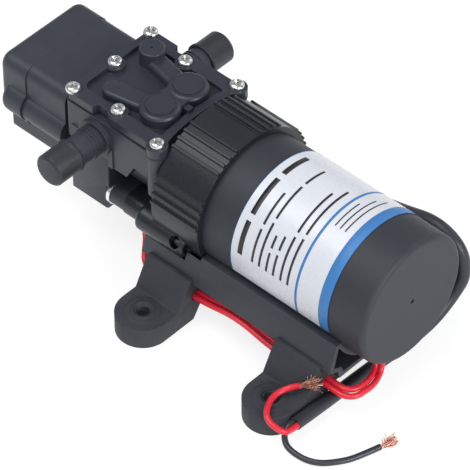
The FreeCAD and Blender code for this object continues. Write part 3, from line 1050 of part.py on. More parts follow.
    top = level(SWITCH_BOTTOM)
    tray = rounded_x(TRAY_LEFT_X, TRAY_RIGHT_X, SWITCH_TRAY_HALF_WIDTH, top - SWITCH_TRAY_DEPTH, top + 6, 2.5)
    tray = tray.cut(box(TRAY_LEFT_X - 1, TRAY_RIGHT_X + 1, -60, 60, top, top + 9))
    wall = SWITCH_WALL
    inner = rounded_x(TRAY_LEFT_X + wall, TRAY_RIGHT_X - wall, SWITCH_TRAY_HALF_WIDTH - wall,
                      top - SWITCH_TRAY_DEPTH + wall, top + 6, 1.2)
    tray = tray.cut(inner)
    for y in (-TRAY_WIRE_Y, -TRAY_WIRE_Y + PAIR_PITCH + 0.2):
        tray = tray.cut(rod_x(WIRE_RADIUS, TRAY_RIGHT_X - 3, TRAY_RIGHT_X + 1, y, level(-TRAY_WIRE_DROP)))
    tray = tray.cut(rod_y(SLEEVE_RADIUS, SWITCH_TRAY_HALF_WIDTH - 3, SWITCH_TRAY_HALF_WIDTH + 1, CABLE_EXIT_X,
                          level(-CABLE_EXIT_DROP)))
    save("switch_tray", max(tray.removeSplitter().Solids, key=lambda s: s.Volume))

    x = SWITCH_RIGHT_X - SWITCH_WALL
    save("switch_diaphragm", rod_x(SWITCH_SLEEVE_BORE, x - SWITCH_DIAPHRAGM, x, 0, axis))
    x -= SWITCH_DIAPHRAGM
    save("switch_ring", tube_x(SWITCH_SLEEVE_BORE, SWITCH_NECK_BORE, x - SWITCH_RING, x, 0, axis))
    seat = sleeve_left + SWITCH_SEAT
    adjuster = tube_x(SWITCH_SLEEVE_BORE, PLUNGER_RADIUS + RUNNING_GAP, sleeve_left, seat, 0, axis)
    save("pressure_adjuster", adjuster)
    flange = rod_x(PLUNGER_FLANGE_RADIUS, x - RUNNING_GAP - PLUNGER_FLANGE, x - RUNNING_GAP, 0, axis)
    button_end = SWITCH_SEAM_X + MICROSWITCH_FRONT + MICROSWITCH_BUTTON_LENGTH
    stem = rod_x(PLUNGER_RADIUS, button_end + RUNNING_GAP, x - RUNNING_GAP, 0, axis)
    save("switch_plunger", joined(flange, stem))
    spring_length = x - RUNNING_GAP * 2 - PLUNGER_FLANGE - seat
    save("switch_spring", coil_spring(V(seat, 0, axis), V(1, 0, 0), SWITCH_SPRING_RADIUS, SWITCH_SPRING_WIRE,
                                      spring_length, SWITCH_SPRING_TURNS, "switch_spring"))
    front = SWITCH_SEAM_X + MICROSWITCH_FRONT
    body = box(front - MICROSWITCH_HEIGHT, front, -MICROSWITCH_LENGTH / 2, MICROSWITCH_LENGTH / 2,
               axis - MICROSWITCH_WIDTH / 2, axis + MICROSWITCH_WIDTH / 2)
    body = body.cut(rod_x(MICROSWITCH_BUTTON_RADIUS + RUNNING_GAP, front - 3.2, front + 1, 0, axis))
    save("microswitch_body", body)
    save("microswitch_button", rod_x(MICROSWITCH_BUTTON_RADIUS, front - 1.6, button_end, 0, axis))


# Port caps, wires and leads

def port_caps():
    """Rubber dust caps pushed over the hose tails."""
    caps = (("port_cap_front", -1, PORT_CAP_GAP_FRONT), ("port_cap_back", 1, PORT_CAP_GAP_BACK))
    for name, side, gap in caps:
        y1 = PORT_REACH + gap + PORT_CAP_END
        y0 = y1 - PORT_CAP_LENGTH
        outer = PORT_RADIUS + PORT_CAP_WALL
        lip = outer + PORT_CAP_LIP
        bore = PORT_RADIUS + RUNNING_GAP
        outside = [(0, y1), (outer - 0.8, y1), (outer, y1 - 0.8)]
        outside += [(outer, y0 + 1.4), (lip, y0 + 1.2), (lip, y0)]
        inside = [(bore, y0), (bore, PORT_REACH + gap), (0, PORT_REACH + gap)]
        points = [V(PORT_X + r, side * y, level(PORT_HEIGHT)) for r, y in outside + inside]
        wire = Part.makePolygon(points + points[:1])
        save(name, Part.Face(wire).revolve(V(PORT_X, 0, level(PORT_HEIGHT)), V(0, 1, 0), 360))


def wire_pair():
    """Two wires from the switch tray, under the head, through both feet and up into the can."""
    places = pair_places(-NOTCH_Y, NOTCH_HEIGHT)
    tray_z = level(-TRAY_WIRE_DROP)
    low = UNDER_HEAD_HEIGHT
    gap = PAIR_PITCH + 0.2
    foot = HOLE_SPACING_X / 2 - 12.5
    outer_drop = ((-56.0, -14.0, low + 2.0), (-47.6, -19.2, low + 2.9), (-43.2, -25.0, 10.2))
    inner_drop = ((-56.0, -11.4, low + 2.0), (-46.4, -16.2, low + 2.9), (-42.8, -21.8, 11.2))
    ways = (
        ("red_wire_outer", places[0], PAIR_MIDDLE[0], 0.0, outer_drop, 3.2, (3.8, -15.2), PAIR_PITCH / 2),
        ("red_wire_inner", places[1], PAIR_MIDDLE[1], gap, inner_drop, 1.2, (1.8, -15.6), -PAIR_PITCH / 2),
    )
    for name, (y, z), middle, shift, drop, corner, loop, side in ways:
        wire_x = MOTOR_WIRE_X + side
        points = [
            (TRAY_RIGHT_X - SWITCH_WALL, -TRAY_WIRE_Y + shift, tray_z),
            (TRAY_RIGHT_X + 3.6, -TRAY_WIRE_Y + shift, tray_z),
            (TRAY_RIGHT_X + 4.4, -TRAY_WIRE_Y - 0.6 + shift, low - 0.2),
            (TRAY_RIGHT_X + 18.0, -TRAY_WIRE_Y - 4.0 + shift, low - 0.1),
            *drop,
            (-HOLE_SPACING_X / 2 - FOOT_WIDTH / 2 - 3.2, y, z),
            (-foot, y, z),
            (0.0, *middle),
            (foot, y, z),
            (MOTOR_WIRE_X + corner, y, z),
            (MOTOR_WIRE_X + loop[0], loop[1], LOOP_HEIGHT + (z - places[0][1]) * 0.9),
            (wire_x, -MOTOR_WIRE_Y, LOOP_HEIGHT + (z - places[0][1]) * 0.9),
            (wire_x, -MOTOR_WIRE_Y, level(-CAN_INNER_RADIUS) + 5.0),
        ]
        save(name, cord_route(name, points, WIRE_RADIUS))
    low, high = level(-CAN_RADIUS) - 2, level(-CAN_RADIUS) + 0.4 + GROMMET_LENGTH
    skin = tube_x(CAN_RADIUS + GROMMET_FLANGE, CAN_RADIUS, MOTOR_WIRE_X - 9, MOTOR_WIRE_X + 9)
    flange = rod_z(GROMMET_FLANGE_RADIUS, low, high, MOTOR_WIRE_X, -MOTOR_WIRE_Y).common(skin)
    plug = rod_z(GROMMET_RADIUS, low, high, MOTOR_WIRE_X, -MOTOR_WIRE_Y)
    plug = plug.common(rod_x(CAN_RADIUS + GROMMET_FLANGE, MOTOR_WIRE_X - 9, MOTOR_WIRE_X + 9))
    grommet = joined(plug, flange)
    for x in (MOTOR_WIRE_X - PAIR_PITCH / 2, MOTOR_WIRE_X + PAIR_PITCH / 2):
        grommet = grommet.cut(rod_z(WIRE_RADIUS, 0, 40, x, -MOTOR_WIRE_Y))
    save("motor_grommet", max(grommet.Solids, key=lambda s: s.Volume))


def supply_cable():
    """Sleeved cable from the tray round the back of the motor, with its two stripped cores."""
    r = SLEEVE_RADIUS
    exit_z = level(-CABLE_EXIT_DROP)
    sleeve = [
        (CABLE_EXIT_X, SWITCH_TRAY_HALF_WIDTH - SWITCH_WALL, exit_z),
        (CABLE_EXIT_X, 31.0, exit_z),
        (-82.0, 41.5, 21.0),
        (-52.0, 42.0, 18.5),
        (-20.0, 41.0, 17.5),
        (-2.0, 39.0, 20.5),
        (16.0, 36.0, 28.0),
        (32.0, 35.0, 34.2),
        (42.6, 35.0, 29.5),
        (44.8, 35.2, 19.0),
        (42.9, 32.6, 11.0),
        (42.4, 22.0, 4.6),
        (CABLE_END_X + 0.5, 9.0, r + 0.1),
        (CABLE_END_X, -10.0, 3.4),
        (CABLE_END_X, -28.0, 4.2),
        (CABLE_END_X, CABLE_END_Y, CABLE_END_HEIGHT),
    ]
    save("supply_cable", cord_route("supply_cable", sleeve, r))
    z = CABLE_END_HEIGHT
    tab_z = TAB_THICKNESS + FOOT_RING_HEIGHT + WIRE_RADIUS + 0.1
    floor_z = WIRE_RADIUS + 0.1
    red = [
        (CABLE_END_X + CORE_OFFSET, CABLE_END_Y, z),
        (CABLE_END_X + CORE_OFFSET, CABLE_END_Y - 2.6, z + 0.215),
        (42.0, -49.8, 7.7),
        (34.5, -50.6, tab_z + 0.3),
        (29.6, -42.5, tab_z + 0.1),
        (31.0, -35.5, tab_z + 0.6),
        (35.0, -33.9, tab_z + 2.9),
    ]
    black = [
        (CABLE_END_X - CORE_OFFSET, CABLE_END_Y, z),
        (CABLE_END_X - CORE_OFFSET, CABLE_END_Y - 2.2, z + 0.182),
        (39.9, -47.5, 3.0),
        (44.0, -49.6, floor_z),
        (54.0, -48.6, floor_z),
        (60.6, -40.6, floor_z),
        (63.0, -34.0, floor_z),
        (64.6, -28.5, floor_z),
    ]
    for name, points, length, fan in (("red_lead", red, 5.5, 10.0), ("black_lead", black, 7.5, 8.0)):
        save(name, cord_route(name, points, WIRE_RADIUS))
        end = V(*points[-1])
        heading = (end - V(*points[-2])).normalize()
        side = heading.cross(V(0, 0, 1)).normalize()
        up = side.cross(heading)
        strands = [Part.makeCylinder(STRAND_RADIUS, length, end, heading)]
        for index in range(STRAND_COUNT - 1):
            angle = 2 * math.pi * index / (STRAND_COUNT - 1)
            out = side * math.cos(angle) + up * math.sin(angle)
            start = end + out * (STRAND_RADIUS * 2.2) + heading * (STRAND_RADIUS * 0.25)
            lean = heading + out * math.tan(math.radians(fan)) * (1.0 if out.z > -0.2 else 0.15)
            strands.append(Part.makeCylinder(STRAND_RADIUS, length * (0.86 + 0.02 * index), start, lean))
        save(name.replace("lead", "strands"), Part.makeCompound(strands))


motor_can()
motor_label()
magnets()
armature()
commutator()
shaft()
bushes()
brush_gear()
jacket()
base_rail()
feet()
housing()
top_cover()
cover_gasket()
cover_screws()
valve_plate()
valves()
diaphragm_set()
crank()
crankcase()
switch_parts()
port_caps()
wire_pair()
supply_cable()
print(len(NODES), "nodes")
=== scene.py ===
import json
import math
import random

import bmesh
import bpy
from bpy.props import FloatProperty, FloatVectorProperty, IntProperty, PointerProperty
from mathutils import Matrix, Vector

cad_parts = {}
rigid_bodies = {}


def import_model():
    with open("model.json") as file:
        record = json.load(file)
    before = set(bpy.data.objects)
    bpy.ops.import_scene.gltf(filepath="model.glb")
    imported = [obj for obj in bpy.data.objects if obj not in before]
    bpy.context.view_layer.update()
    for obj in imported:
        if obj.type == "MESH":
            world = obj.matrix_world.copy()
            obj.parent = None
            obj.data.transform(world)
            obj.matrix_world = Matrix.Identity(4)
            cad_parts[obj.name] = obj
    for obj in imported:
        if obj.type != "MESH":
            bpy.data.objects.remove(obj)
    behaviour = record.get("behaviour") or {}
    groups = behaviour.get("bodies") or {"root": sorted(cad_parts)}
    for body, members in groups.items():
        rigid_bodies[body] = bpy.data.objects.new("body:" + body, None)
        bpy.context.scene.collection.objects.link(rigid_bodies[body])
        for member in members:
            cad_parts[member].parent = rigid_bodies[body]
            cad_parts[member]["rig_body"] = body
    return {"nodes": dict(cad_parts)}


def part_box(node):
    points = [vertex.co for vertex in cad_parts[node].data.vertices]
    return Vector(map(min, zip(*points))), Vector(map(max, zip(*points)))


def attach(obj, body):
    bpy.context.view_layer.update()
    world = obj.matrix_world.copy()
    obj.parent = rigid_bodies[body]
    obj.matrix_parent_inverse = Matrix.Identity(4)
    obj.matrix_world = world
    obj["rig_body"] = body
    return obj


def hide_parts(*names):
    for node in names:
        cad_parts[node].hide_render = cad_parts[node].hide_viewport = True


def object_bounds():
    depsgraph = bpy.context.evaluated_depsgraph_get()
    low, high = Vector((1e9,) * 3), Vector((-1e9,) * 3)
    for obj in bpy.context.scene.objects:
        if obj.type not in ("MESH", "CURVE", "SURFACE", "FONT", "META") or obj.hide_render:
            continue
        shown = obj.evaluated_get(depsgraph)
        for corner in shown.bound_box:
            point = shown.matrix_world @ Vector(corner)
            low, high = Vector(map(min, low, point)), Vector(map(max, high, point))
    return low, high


bl_info = {
    "name": "Water pressure pump looks",
    "version": (1, 0, 0),
    "blender": (4, 5, 0),
    "location": "3D View > Sidebar > Pump",
    "description": "Finishes, cables, label and studio for a small diaphragm pump",
    "category": "Object",
}

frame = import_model()
CAD_BOX = [list(corner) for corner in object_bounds()]
MM = 0.001
AXIS_HEIGHT = 37.5 * MM
CAN_RADIUS = 23.8 * MM
LABEL_RADIUS = 24.05 * MM

# Route of the sleeved cable and of its two cores, in millimetres, as in the part's source.
SLEEVE_ROUTE = (
    (-98.0, 14.0, 24.1), (-98.0, 31.0, 24.1), (-82.0, 41.5, 21.0), (-52.0, 42.0, 18.5), (-20.0, 41.0, 17.5),
    (-2.0, 39.0, 20.5), (16.0, 36.0, 28.0), (32.0, 35.0, 34.2), (42.6, 35.0, 29.5), (44.8, 35.2, 19.0),
    (42.9, 32.6, 11.0), (42.4, 22.0, 4.6), (41.0, 9.0, 2.4), (40.5, -10.0, 3.4), (40.5, -28.0, 4.2),
    (40.5, -42.5, 5.4),
)
RED_ROUTE = (
    (41.56, -42.5, 5.4), (41.56, -45.1, 5.62), (42.0, -49.8, 7.7), (34.5, -50.6, 9.95), (29.6, -42.5, 9.75),
    (31.0, -35.5, 10.25), (35.0, -33.9, 12.55),
)
BLACK_ROUTE = (
    (39.44, -42.5, 5.4), (39.44, -44.7, 5.58), (39.9, -47.5, 3.0), (44.0, -49.6, 1.15), (54.0, -48.6, 1.15),
    (60.6, -40.6, 1.15), (63.0, -34.0, 1.15), (64.6, -28.5, 1.15),
)


class PumpLooks(bpy.types.PropertyGroup):
    """Colours and small sizes that a user of the pump may want to change."""

    plastic: FloatVectorProperty(
        name="Moulded plastic", description="Glass-filled plastic of the head and the pressure switch",
        subtype="COLOR", size=3, min=0.0, max=1.0, default=(0.036, 0.040, 0.054))
    jacket: FloatVectorProperty(
        name="Ribbed jacket", description="Satin plastic of the ribbed jacket round the motor",
        subtype="COLOR", size=3, min=0.0, max=1.0, default=(0.0145, 0.016, 0.0215))
    cover: FloatVectorProperty(
        name="Head cover", description="Plastic of the screwed cover on the pump head",
        subtype="COLOR", size=3, min=0.0, max=1.0, default=(0.030, 0.034, 0.048))
    can: FloatVectorProperty(
        name="Motor paint", description="Satin paint on the motor's steel can",
        subtype="COLOR", size=3, min=0.0, max=1.0, default=(0.0285, 0.0305, 0.040))
    rubber: FloatVectorProperty(
        name="Feet rubber", description="Matt rubber of the mounting feet and the dust caps",
        subtype="COLOR", size=3, min=0.0, max=1.0, default=(0.031, 0.034, 0.043))
    rail: FloatVectorProperty(
        name="Rail", description="Plastic rail that carries the motor",
        subtype="COLOR", size=3, min=0.0, max=1.0, default=(0.031, 0.034, 0.044))
    wire_red: FloatVectorProperty(
        name="Red insulation", description="PVC insulation of the live wires",
        subtype="COLOR", size=3, min=0.0, max=1.0, default=(0.78, 0.020, 0.045))
    wire_black: FloatVectorProperty(
        name="Black insulation", description="PVC insulation of the return wire and the cable's sleeve",
        subtype="COLOR", size=3, min=0.0, max=1.0, default=(0.028, 0.030, 0.040))
    label: FloatVectorProperty(
        name="Label film", description="Paper-white film wrapped round the motor",
        subtype="COLOR", size=3, min=0.0, max=1.0, default=(0.72, 0.74, 0.795))
    label_blue: FloatVectorProperty(
        name="Label blue", description="Band and line printed on the label",
        subtype="COLOR", size=3, min=0.0, max=1.0, default=(0.048, 0.205, 0.52))
    sleeve_diameter: FloatProperty(
        name="Sleeve diameter", description="Outside diameter of the cable's sleeve",
        unit="LENGTH", min=0.001, max=0.01, default=4.6 * MM)
    core_diameter: FloatProperty(
        name="Core diameter", description="Outside diameter of each insulated core",
        unit="LENGTH", min=0.0005, max=0.005, default=2.1 * MM)
    strand_count: IntProperty(
        name="Strands", description="Copper strands showing at each stripped end",
        min=7, max=90, default=64)
    strand_diameter: FloatProperty(
        name="Strand diameter", description="Thickness of one copper strand",
        unit="LENGTH", min=0.00005, max=0.0005, default=0.24 * MM)
    key_power: FloatProperty(
        name="Key light", description="Power of the large soft light over the pump",
        unit="POWER", min=0.0, default=8.4)


# Materials

# Slow patches and fine grain of the mouldings, and how much of each noise's range counts.
PATCH_NOISE = {"Scale": 90.0, "Detail": 5.0, "Roughness": 0.6}
PATCH_RANGE = (0.3, 0.7)
GRAIN_NOISE = {"Detail": 3.0, "Roughness": 0.55}
GRAIN_RANGE = (0.25, 0.75)
GRAIN_STRENGTH = 0.6
SMOOTHEST, ROUGHEST = 0.05, 1.0
COAT_ROUGHNESS = 0.25
EDGE_SAMPLES = 6
# Brightness of the caps' and the gasket's rubber, as shares of the feet's.
CAP_SHADE = 0.74
GASKET_SHADE = 0.6

# Machining lines and blotches of the bare metals.
LINE_NOISE = {"Scale": 1.0, "Detail": 4.0}
LINE_RANGE = (0.3, 0.7)
LINE_STRENGTH = 0.4
LINE_RELIEF = 0.01 * MM
BLOTCH_NOISE = {"Scale": 240.0, "Detail": 3.0}
BLOTCH_TINT = 0.08
METAL_EDGE = 0.12 * MM
METAL_GLOSS_SPREAD = (0.7, 1.3)


def new_material(name):
    """Material with its node tree and its shader."""
    material = bpy.data.materials.new(name)
    material.use_nodes = True
    tree = material.node_tree
    shader = tree.nodes["Principled BSDF"]
    return material, tree, shader


def add_node(tree, kind, inputs=(), **settings):
    """Node of the given kind, with its settings and its inputs' values or links."""
    node = tree.nodes.new(kind)
    for key, value in settings.items():
        setattr(node, key, value)
    for key, value in dict(inputs).items():
        if isinstance(value, bpy.types.NodeSocket):
            tree.links.new(value, node.inputs[key])
        else:
            node.inputs[key].default_value = value
    return node


def shade(colour, factor):
    """Colour with its brightness scaled, as four numbers."""
    return tuple(min(1.0, channel * factor) for channel in colour[:3]) + (1.0,)


def noise(tree, place, **inputs):
    """Noise at the place, with the given inputs."""
    return add_node(tree, "ShaderNodeTexNoise", {"Vector": place, **inputs}).outputs["Fac"]


def value_range(tree, value, span, low, high):
    """Value brought from its span to the range from low to high."""
    inputs = {"Value": value, "From Min": span[0], "From Max": span[1], "To Min": low, "To Max": high}
    return add_node(tree, "ShaderNodeMapRange", inputs).outputs["Result"]


def relief_normal(tree, height, strength, distance, edge):
    """Normal of a surface with the given relief, whose hard edges look rounded."""
    rounded = add_node(tree, "ShaderNodeBevel", {"Radius": edge}, samples=EDGE_SAMPLES).outputs["Normal"]
    inputs = {"Height": height, "Strength": strength, "Distance": distance, "Normal": rounded}
    return add_node(tree, "ShaderNodeBump", inputs).outputs["Normal"]


def surface(name, colour, roughness, grain, relief, mottle=0.12, coat=0.0, edge=0.25, spread=0.08):
    """Finish with fine grain, slow colour and gloss changes, and edges that look slightly rounded.

    The relief's depth and the edge's rounding are in millimetres, and the grain is the noise's scale.
    """
    material, tree, shader = new_material(name)
    place = add_node(tree, "ShaderNodeTexCoord").outputs["Object"]
    slow = noise(tree, place, **PATCH_NOISE)
    fine = noise(tree, place, Scale=grain, **GRAIN_NOISE)
    tint = add_node(tree, "ShaderNodeValToRGB", {"Fac": slow})
    for stop, position, factor in zip(tint.color_ramp.elements, PATCH_RANGE, (1.0 - mottle, 1.0 + mottle)):
        stop.position = position
        stop.color = shade(colour, factor)
    smooth, rough = max(SMOOTHEST, roughness - spread), min(ROUGHEST, roughness + spread)
    gloss = value_range(tree, fine, GRAIN_RANGE, smooth, rough)
    normal = relief_normal(tree, fine, GRAIN_STRENGTH, relief * MM, edge * MM)
    tree.links.new(tint.outputs["Color"], shader.inputs["Base Color"])
    tree.links.new(gloss, shader.inputs["Roughness"])
    tree.links.new(normal, shader.inputs["Normal"])
    shader.inputs["Coat Weight"].default_value = coat
    shader.inputs["Coat Roughness"].default_value = COAT_ROUGHNESS
    return material


def turned_metal(name, colour, roughness, along):
    """Bare metal with fine machining lines, drawn out by the scale along each axis."""
    material, tree, shader = new_material(name)
    place = add_node(tree, "ShaderNodeTexCoord").outputs["Object"]
    stretch = add_node(tree, "ShaderNodeMapping", {"Vector": place, "Scale": along}).outputs["Vector"]
    lines = noise(tree, stretch, **LINE_NOISE)
    blotch = noise(tree, place, **BLOTCH_NOISE)
    tint = add_node(tree, "ShaderNodeValToRGB", {"Fac": blotch})
    for stop, factor in zip(tint.color_ramp.elements, (1.0 - BLOTCH_TINT, 1.0 + BLOTCH_TINT)):
        stop.color = shade(colour, factor)
    smooth, rough = (roughness * share for share in METAL_GLOSS_SPREAD)
    gloss = value_range(tree, lines, LINE_RANGE, smooth, rough)
    normal = relief_normal(tree, lines, LINE_STRENGTH, LINE_RELIEF, METAL_EDGE)
    tree.links.new(tint.outputs["Color"], shader.inputs["Base Color"])
    tree.links.new(gloss, shader.inputs["Roughness"])
    tree.links.new(normal, shader.inputs["Normal"])
    shader.inputs["Metallic"].default_value = 1.0
    return material


def plastic_finishes(looks):
    """Plastics, paint and wire insulation, by name."""
    return {
        "plastic": surface("moulded_plastic", looks.plastic, roughness=0.44, grain=2600.0, relief=0.03),
        "jacket": surface("jacket_plastic", looks.jacket, roughness=0.30, grain=2400.0, relief=0.015,
                          mottle=0.15, edge=0.45),
        "cover": surface("cover_plastic", looks.cover, roughness=0.36, grain=2400.0, relief=0.025),
        "rail": surface("rail_plastic", looks.rail, roughness=0.47, grain=2000.0, relief=0.03),
        "can": surface("can_paint", looks.can, roughness=0.56, grain=1500.0, relief=0.02,
                       mottle=0.05, spread=0.04),
        "inner_plastic": surface("acetal_plastic", (0.62, 0.60, 0.54), roughness=0.4, grain=2200.0,
                                 relief=0.02),
        "red_pvc": surface("red_insulation", looks.wire_red, roughness=0.34, grain=1300.0, relief=0.02,
                           mottle=0.06, coat=0.25),
        "black_pvc": surface("black_insulation", looks.wire_black, roughness=0.36, grain=1300.0,
                             relief=0.02, mottle=0.08, coat=0.2),
        "sleeve_pvc": surface("sleeve_insulation", looks.wire_black, roughness=0.42, grain=900.0,
                              relief=0.04),
    }


def rubber_finishes(looks):
    """Rubbers, magnet and brush materials, by name."""
    return {
        "rubber": surface("feet_rubber", looks.rubber, roughness=0.66, grain=1700.0, relief=0.05,
                          mottle=0.18, edge=0.6),
        "cap_rubber": surface("cap_rubber", shade(looks.rubber, CAP_SHADE), roughness=0.5, grain=1900.0,
                              relief=0.03, edge=0.35),
        "gasket": surface("gasket_rubber", shade(looks.rubber, GASKET_SHADE), roughness=0.7,
                          grain=1800.0, relief=0.04),
        "valve_rubber": surface("valve_rubber", (0.30, 0.09, 0.05), roughness=0.6, grain=1800.0,
                                relief=0.03),
        "diaphragm_rubber": surface("diaphragm_rubber", (0.03, 0.03, 0.032), roughness=0.6,
                                    grain=1500.0, relief=0.04),
        "ferrite": surface("magnet_ferrite", (0.07, 0.068, 0.066), roughness=0.7, grain=900.0, relief=0.05),
        "carbon": surface("brush_carbon", (0.03, 0.03, 0.031), roughness=0.5, grain=1600.0, relief=0.03),
    }


def metal_finishes():
    """Bare metals, and the dark colour painted on the floor of the screws' recesses as shade, by name."""
    return {
        "laminations": turned_metal("core_laminations", (0.42, 0.42, 0.43), 0.4, (2600.0, 20.0, 20.0)),
        "steel": turned_metal("ground_steel", (0.62, 0.62, 0.61), 0.22, (1800.0, 60.0, 60.0)),
        "zinc": turned_metal("zinc_plate", (0.72, 0.72, 0.71), 0.28, (900.0, 900.0, 90.0)),
        # Painted shade: a near-black colour standing in for the shadow inside the screws' cross recesses.
        "recess": surface("screw_recess", (0.030, 0.026, 0.026), roughness=0.5, grain=1900.0, relief=0.01),
        "dark_steel": turned_metal("blackened_steel", (0.10, 0.10, 0.105), 0.38, (900.0, 900.0, 90.0)),
        "bright_plate": turned_metal("bright_plate", (0.86, 0.86, 0.85), 0.2, (60.0, 900.0, 900.0)),
        "bronze": turned_metal("sintered_bronze", (0.55, 0.36, 0.16), 0.4, (1400.0, 90.0, 90.0)),
        "winding_copper": turned_metal("winding_copper", (0.66, 0.27, 0.12), 0.3, (30.0, 1800.0, 1800.0)),
        "strand_copper": turned_metal("strand_copper", (0.72, 0.40, 0.31), 0.36, (700.0, 700.0, 700.0)),
    }


def label_finishes(looks):
    """Film of the label and its two inks, by name."""
    return {
        "label": surface("label_film", looks.label, roughness=0.3, grain=700.0, relief=0.006,
                         mottle=0.012, coat=0.25),
        "label_blue": surface("label_blue_ink", looks.label_blue, roughness=0.45, grain=1600.0,
                              relief=0.004, mottle=0.05),
        "label_grey": surface("label_grey_ink", (0.055, 0.055, 0.065), roughness=0.4, grain=1600.0,
                              relief=0.004, mottle=0.06),
    }


NODE_FINISH = {
    "can": ("motor_can",),
    "label": ("motor_label",),
    "ferrite": ("magnets",),
    "laminations": ("armature_core",),
    "winding_copper": ("armature_windings", "commutator_bars"),
    "steel": ("shaft", "diaphragm_washer", "diaphragm_screw", "bearing_outer_race", "bearing_inner_race",
              "bearing_balls", "eccentric", "brush_springs", "switch_spring"),
    "bronze": ("front_bush", "middle_bush", "rear_bush"),
    "carbon": ("brushes",),
    "gasket": ("cover_gasket", "switch_diaphragm"),
    "inner_plastic": ("commutator_hub", "brush_holder", "connecting_rod", "pressure_adjuster",
                      "switch_plunger", "switch_ring", "microswitch_button"),
    "valve_rubber": ("inlet_valve", "outlet_valve"),
    "diaphragm_rubber": ("pump_diaphragm",),
    "plastic": ("valve_housing", "crank_block", "crankcase", "switch_box", "switch_end_cap", "switch_tray",
                "microswitch_body"),
    "jacket": ("motor_jacket",),
    "cover": ("top_cover", "valve_plate"),
    "bright_plate": ("bearing_plate",),
    "rail": ("base_rail",),
    "rubber": ("foot_front", "foot_rear"),
    "cap_rubber": ("port_cap_front", "port_cap_back", "motor_grommet"),
    "red_pvc": ("red_wire_outer", "red_wire_inner"),
    "zinc": ("cover_screws", "rail_screws", "switch_cap_screws"),
    "dark_steel": ("jacket_screws",),
}
FINISHES = {}


def give(obj, finish):
    """Give the object one finish all over."""
    obj.data.materials.clear()
    obj.data.materials.append(FINISHES[finish])
    return obj


def link(name, data):
    """New object for the data, in the scene."""
    obj = bpy.data.objects.new(name, data)
    bpy.context.scene.collection.objects.link(obj)
    return obj


# Camera, floor and lights

CAMERA_AZIMUTH = 43.30
CAMERA_ELEVATION = 44.97
CAMERA_ROLL = -0.437
CAMERA_PLACE = Vector((660.36, -727.74, 1013.85)) * MM
CAMERA_LENS = 326.93
CAMERA_SENSOR = 36.0
CAMERA_CLIP = (0.05, 20.0)

WHITE = (1.0, 1.0, 1.0, 1.0)
SURROUNDINGS_COLOUR = (0.93, 0.96, 1.0, 1.0)
SURROUNDINGS_STRENGTH = 0.40

# Half of the floor's side and its drop under the feet, in metres, and the squares along its side.
FLOOR_HALF_SIDE = 3.0
FLOOR_DROP = 0.0001
FLOOR_SQUARES = 8
# Glow and colour of the floor that is seen, and colour of the floor that only throws light back.
FLOOR_GLOW = 0.80
FLOOR_SEEN = (0.30, 0.30, 0.30, 1.0)
FLOOR_UNSEEN = (0.66, 0.66, 0.66, 1.0)

# Soft lights: name, place, aim, side of the square in metres, and share of the key light's power.
LIGHTS = (
    ("key_light", (-0.35, -0.45, 1.25), (-0.02, 0.0, 0.03), 0.9, 1.0),
    ("front_light", (0.75, -0.95, 0.85), (0.0, 0.0, 0.03), 0.8, 0.32),
    ("side_light", (1.05, -0.1, 0.5), (0.0, 0.0, 0.03), 0.6, 0.90),
    ("back_light", (0.1, 1.0, 0.7), (0.0, 0.0, 0.05), 0.7, 0.2),
)


class PUMP_OT_camera(bpy.types.Operator):
    """Set the camera at the angle of the product picture"""
    bl_idname = "pump.camera"
    bl_label = "Camera"

    def execute(self, context):
        angles = (CAMERA_AZIMUTH, CAMERA_ELEVATION, CAMERA_ROLL)
        azimuth, elevation, roll = (math.radians(angle) for angle in angles)
        back = Vector((math.sin(azimuth) * math.cos(elevation), -math.cos(azimuth) * math.cos(elevation),
                       math.sin(elevation)))
        right = Vector((math.cos(azimuth), math.sin(azimuth), 0.0))
        up = back.cross(right)
        rolled_right = right * math.cos(roll) + up * math.sin(roll)
        rolled_up = up * math.cos(roll) - right * math.sin(roll)
        data = bpy.data.cameras.new("photo_camera")
        data.lens = CAMERA_LENS
        data.sensor_width = CAMERA_SENSOR
        data.clip_start, data.clip_end = CAMERA_CLIP
        camera = link("photo_camera", data)
        turn = Matrix((rolled_right, rolled_up, back)).transposed().to_4x4()
        camera.matrix_world = Matrix.Translation(CAMERA_PLACE) @ turn
        context.scene.camera = camera
        return {"FINISHED"}


def area_light(name, place, aim, size, power):
    """Square soft light at a place, pointing at the aim."""
    data = bpy.data.lights.new(name, "AREA")
    data.shape = "SQUARE"
    data.size = size
    data.energy = power
    lamp = link(name, data)
    lamp.location = place
    lamp.rotation_euler = (Vector(aim) - Vector(place)).to_track_quat("-Z", "Y").to_euler()


def greater(tree, first, second):
    """Greater of two values."""
    return add_node(tree, "ShaderNodeMath", {0: first, 1: second}, operation="MAXIMUM").outputs[0]


def seen_ray(tree):
    """One where the ray comes from the camera, a gloss or a clear body, and nought elsewhere."""
    path = add_node(tree, "ShaderNodeLightPath").outputs
    seen_or_gloss = greater(tree, path["Is Camera Ray"], path["Is Glossy Ray"])
    return greater(tree, seen_or_gloss, path["Is Transmission Ray"])


def pale_floor():
    """Floor material that looks white, keeps the pump's shadow and throws a plain grey light back."""
    material, tree, shader = new_material("pale_floor")
    tree.nodes.remove(shader)
    lit = add_node(tree, "ShaderNodeBsdfDiffuse", {"Color": FLOOR_SEEN})
    glow = add_node(tree, "ShaderNodeEmission", {"Color": WHITE, "Strength": FLOOR_GLOW})
    pale = add_node(tree, "ShaderNodeAddShader", {0: lit.outputs[0], 1: glow.outputs[0]})
    plain = add_node(tree, "ShaderNodeBsdfDiffuse", {"Color": FLOOR_UNSEEN})
    inputs = {0: seen_ray(tree), 1: plain.outputs[0], 2: pale.outputs[0]}
    both = add_node(tree, "ShaderNodeMixShader", inputs)
    tree.links.new(both.outputs[0], tree.nodes["Material Output"].inputs["Surface"])
    return material


